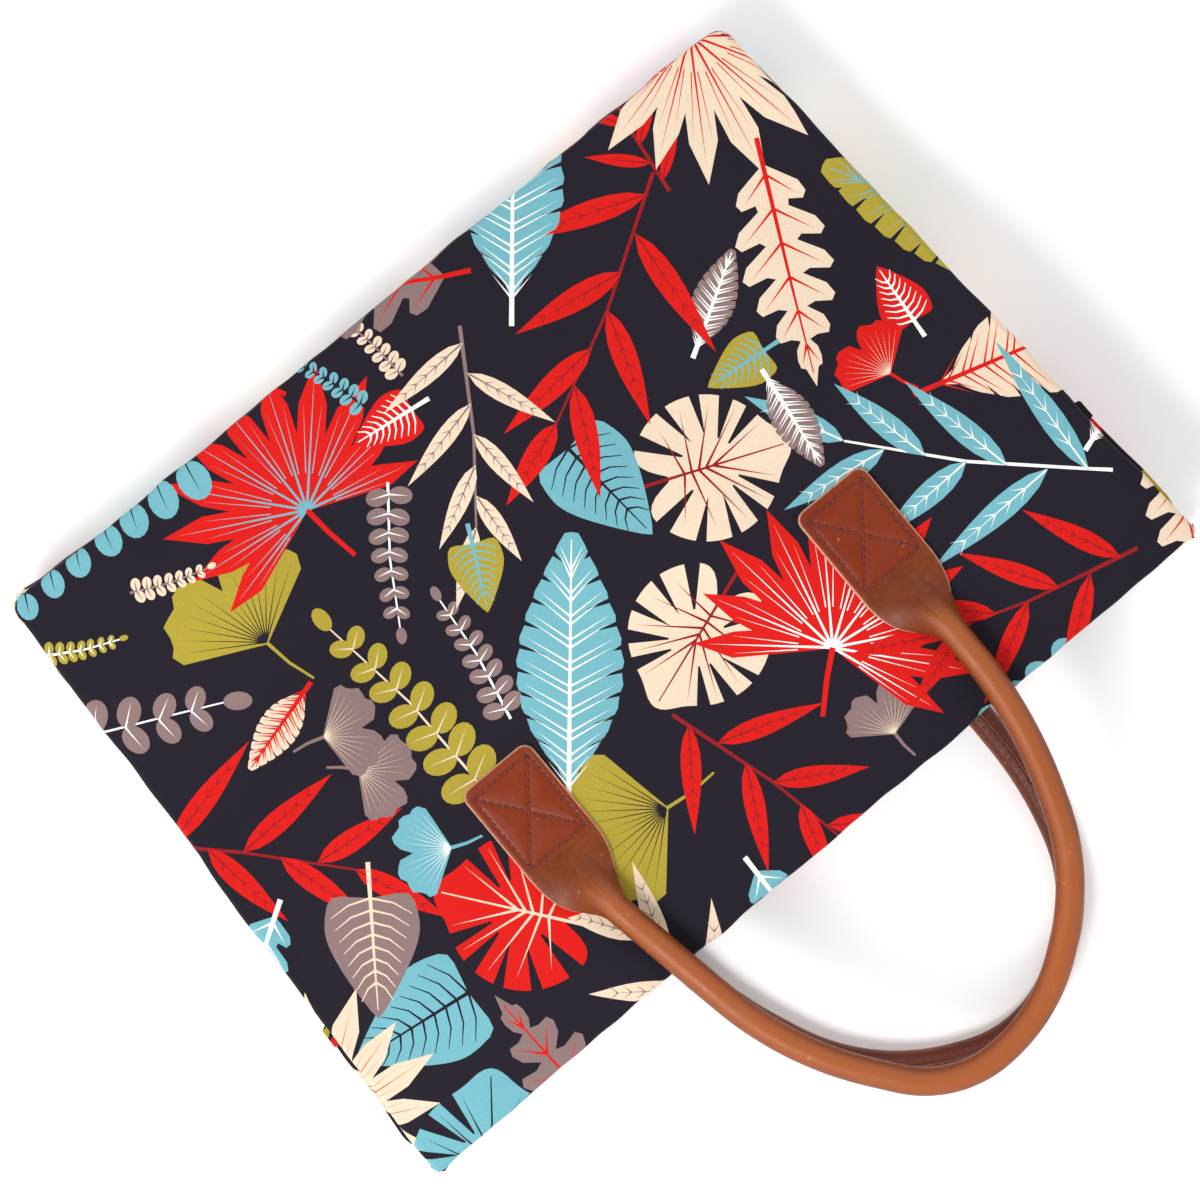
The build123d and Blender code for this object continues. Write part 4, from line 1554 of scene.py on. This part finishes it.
def dress_cad():
    """Materials for the CAD nodes."""
    for piece in bpy.context.scene.objects:
        if piece.type != "MESH" or piece.data.materials and piece.data.materials[0] in MATERIALS.values():
            continue
        for name, words in NODE_WORDS:
            if any(word in piece.name for word in words):
                dress(piece, name)
                break


# The scene

front_cover, back_cover = make_walls()
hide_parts("front_panel", "front_foam", "front_tab_backing_left", "front_tab_backing_right")
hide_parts("back_panel")
gusset_cover = make_gusset()
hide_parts("main_gusset")
for piece in [front_cover, back_cover, gusset_cover, *make_strips(), *make_patches()]:
    dress(piece, "printed_fabric")
    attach(piece, "bag")

for name, facts in HANDLES.items():
    leather = make_leather(f"{name}_handle_leather", facts)
    dress(leather, "leather", "cut_leather")
    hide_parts(f"{name}_handle", f"{name}_tab_left", f"{name}_tab_right")
    level = (face_level(facts) + facts["side"] * TAB_PLY / 2) * MM
    fold_from, fold_to = (0, (FOLD_Y - 2) * MM, level), (0, (FOLD_Y + 3) * MM, level)
    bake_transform(leather)
    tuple(fold_from)
    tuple(fold_to)
    threads = make_tab_stitches(f"{name}_tab_stitches", facts)
    dress(threads, "thread")
    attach(threads, "bag")
    seam = make_seam_stitches(f"{name}_seam_stitches", facts)
    dress(seam, "thread")
    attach(seam, f"{name}_handle")

for piece in make_teeth():
    dress(piece, "zip_coil")
dress_cad()

# The studio, in metres: a pale floor that glows a little, two soft lamps and a bright sky
FLOOR_REACH = 3.0
LAMP_AIM = (0.0, 0.11, 0.05)


def make_floor():
    mesh = bpy.data.meshes.new("floor")
    corners = [(x * FLOOR_REACH, y * FLOOR_REACH, 0) for x, y in ((-1, -1), (1, -1), (1, 1), (-1, 1))]
    mesh.from_pydata(corners, [], [(0, 1, 2, 3)])
    mesh.materials.append(Shader("pale floor").surface(
        Base_Color=grey(0.95), Roughness=0.9, Specular_IOR_Level=0.1,
        Emission_Color=grey(1.0), Emission_Strength=0.14))
    return add_object("floor", mesh)


def make_lamp(name, place, size, power):
    data = bpy.data.lights.new(name, "AREA")
    data.shape = "DISK"
    data.size = size
    data.energy = power
    lamp = add_object(name, data)
    lamp.location = place
    lamp.rotation_euler = (Vector(LAMP_AIM) - Vector(place)).to_track_quat("-Z", "Y").to_euler()


make_floor()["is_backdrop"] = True
make_lamp("key", (1.15, 0.45, 1.55), 0.8, 27)
make_lamp("fill", (-1.1, -0.5, 1.8), 1.6, 8)

# The sky is bright all round and dimmer overhead, which keeps flat cloth and leather from glaring
world = bpy.data.worlds.new("studio")
bpy.context.scene.world = world
world.use_nodes = True
sky = world.node_tree
direction = sky.nodes.new("ShaderNodeSeparateXYZ")
sky.links.new(sky.nodes.new("ShaderNodeTexCoord").outputs["Generated"], direction.inputs["Vector"])
dome = sky.nodes.new("ShaderNodeValToRGB")
sky.links.new(direction.outputs["Z"], dome.inputs["Fac"])
stops = dome.color_ramp.elements
stops.new(0.8)
for stop, (at, level) in zip(stops, ((0.45, 1.0), (0.8, 0.28), (1.0, 0.14))):
    stop.position = at
    stop.color = grey(level)
sky.links.new(dome.outputs["Color"], sky.nodes["Background"].inputs["Color"])
sky.nodes["Background"].inputs["Strength"].default_value = 1.3

bpy.context.scene.view_settings.view_transform = "Standard"

# The photo looks straight down on the bag's front, with the bag turned on the page. Its width takes in
# photo_width at photo_level, and photo_middle lies under its middle.
lens_mm, sensor_mm = 135.0, 36.0
photo_width, photo_level = 497.0, 50.0
photo_middle = (1.27, 111.45)
page_right = Vector((-0.7697, 0.6384, 0.0))
page_up = Vector((-0.6384, -0.7697, 0.0))
camera_data = bpy.data.cameras.new("camera")
camera_data.lens = lens_mm
camera_data.sensor_width = sensor_mm
camera = add_object("camera", camera_data)
turn = Matrix((page_right, page_up, page_right.cross(page_up))).transposed()
height = photo_width * lens_mm / sensor_mm + photo_level
camera.matrix_world = Matrix.Translation(Vector((*photo_middle, height)) * MM) @ turn.to_4x4()
bpy.context.scene.camera = camera

bounds = {"cad": cad_bounds, "dressed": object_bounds()}
{name: [list(corner) for corner in corners] for name, corners in bounds.items()}
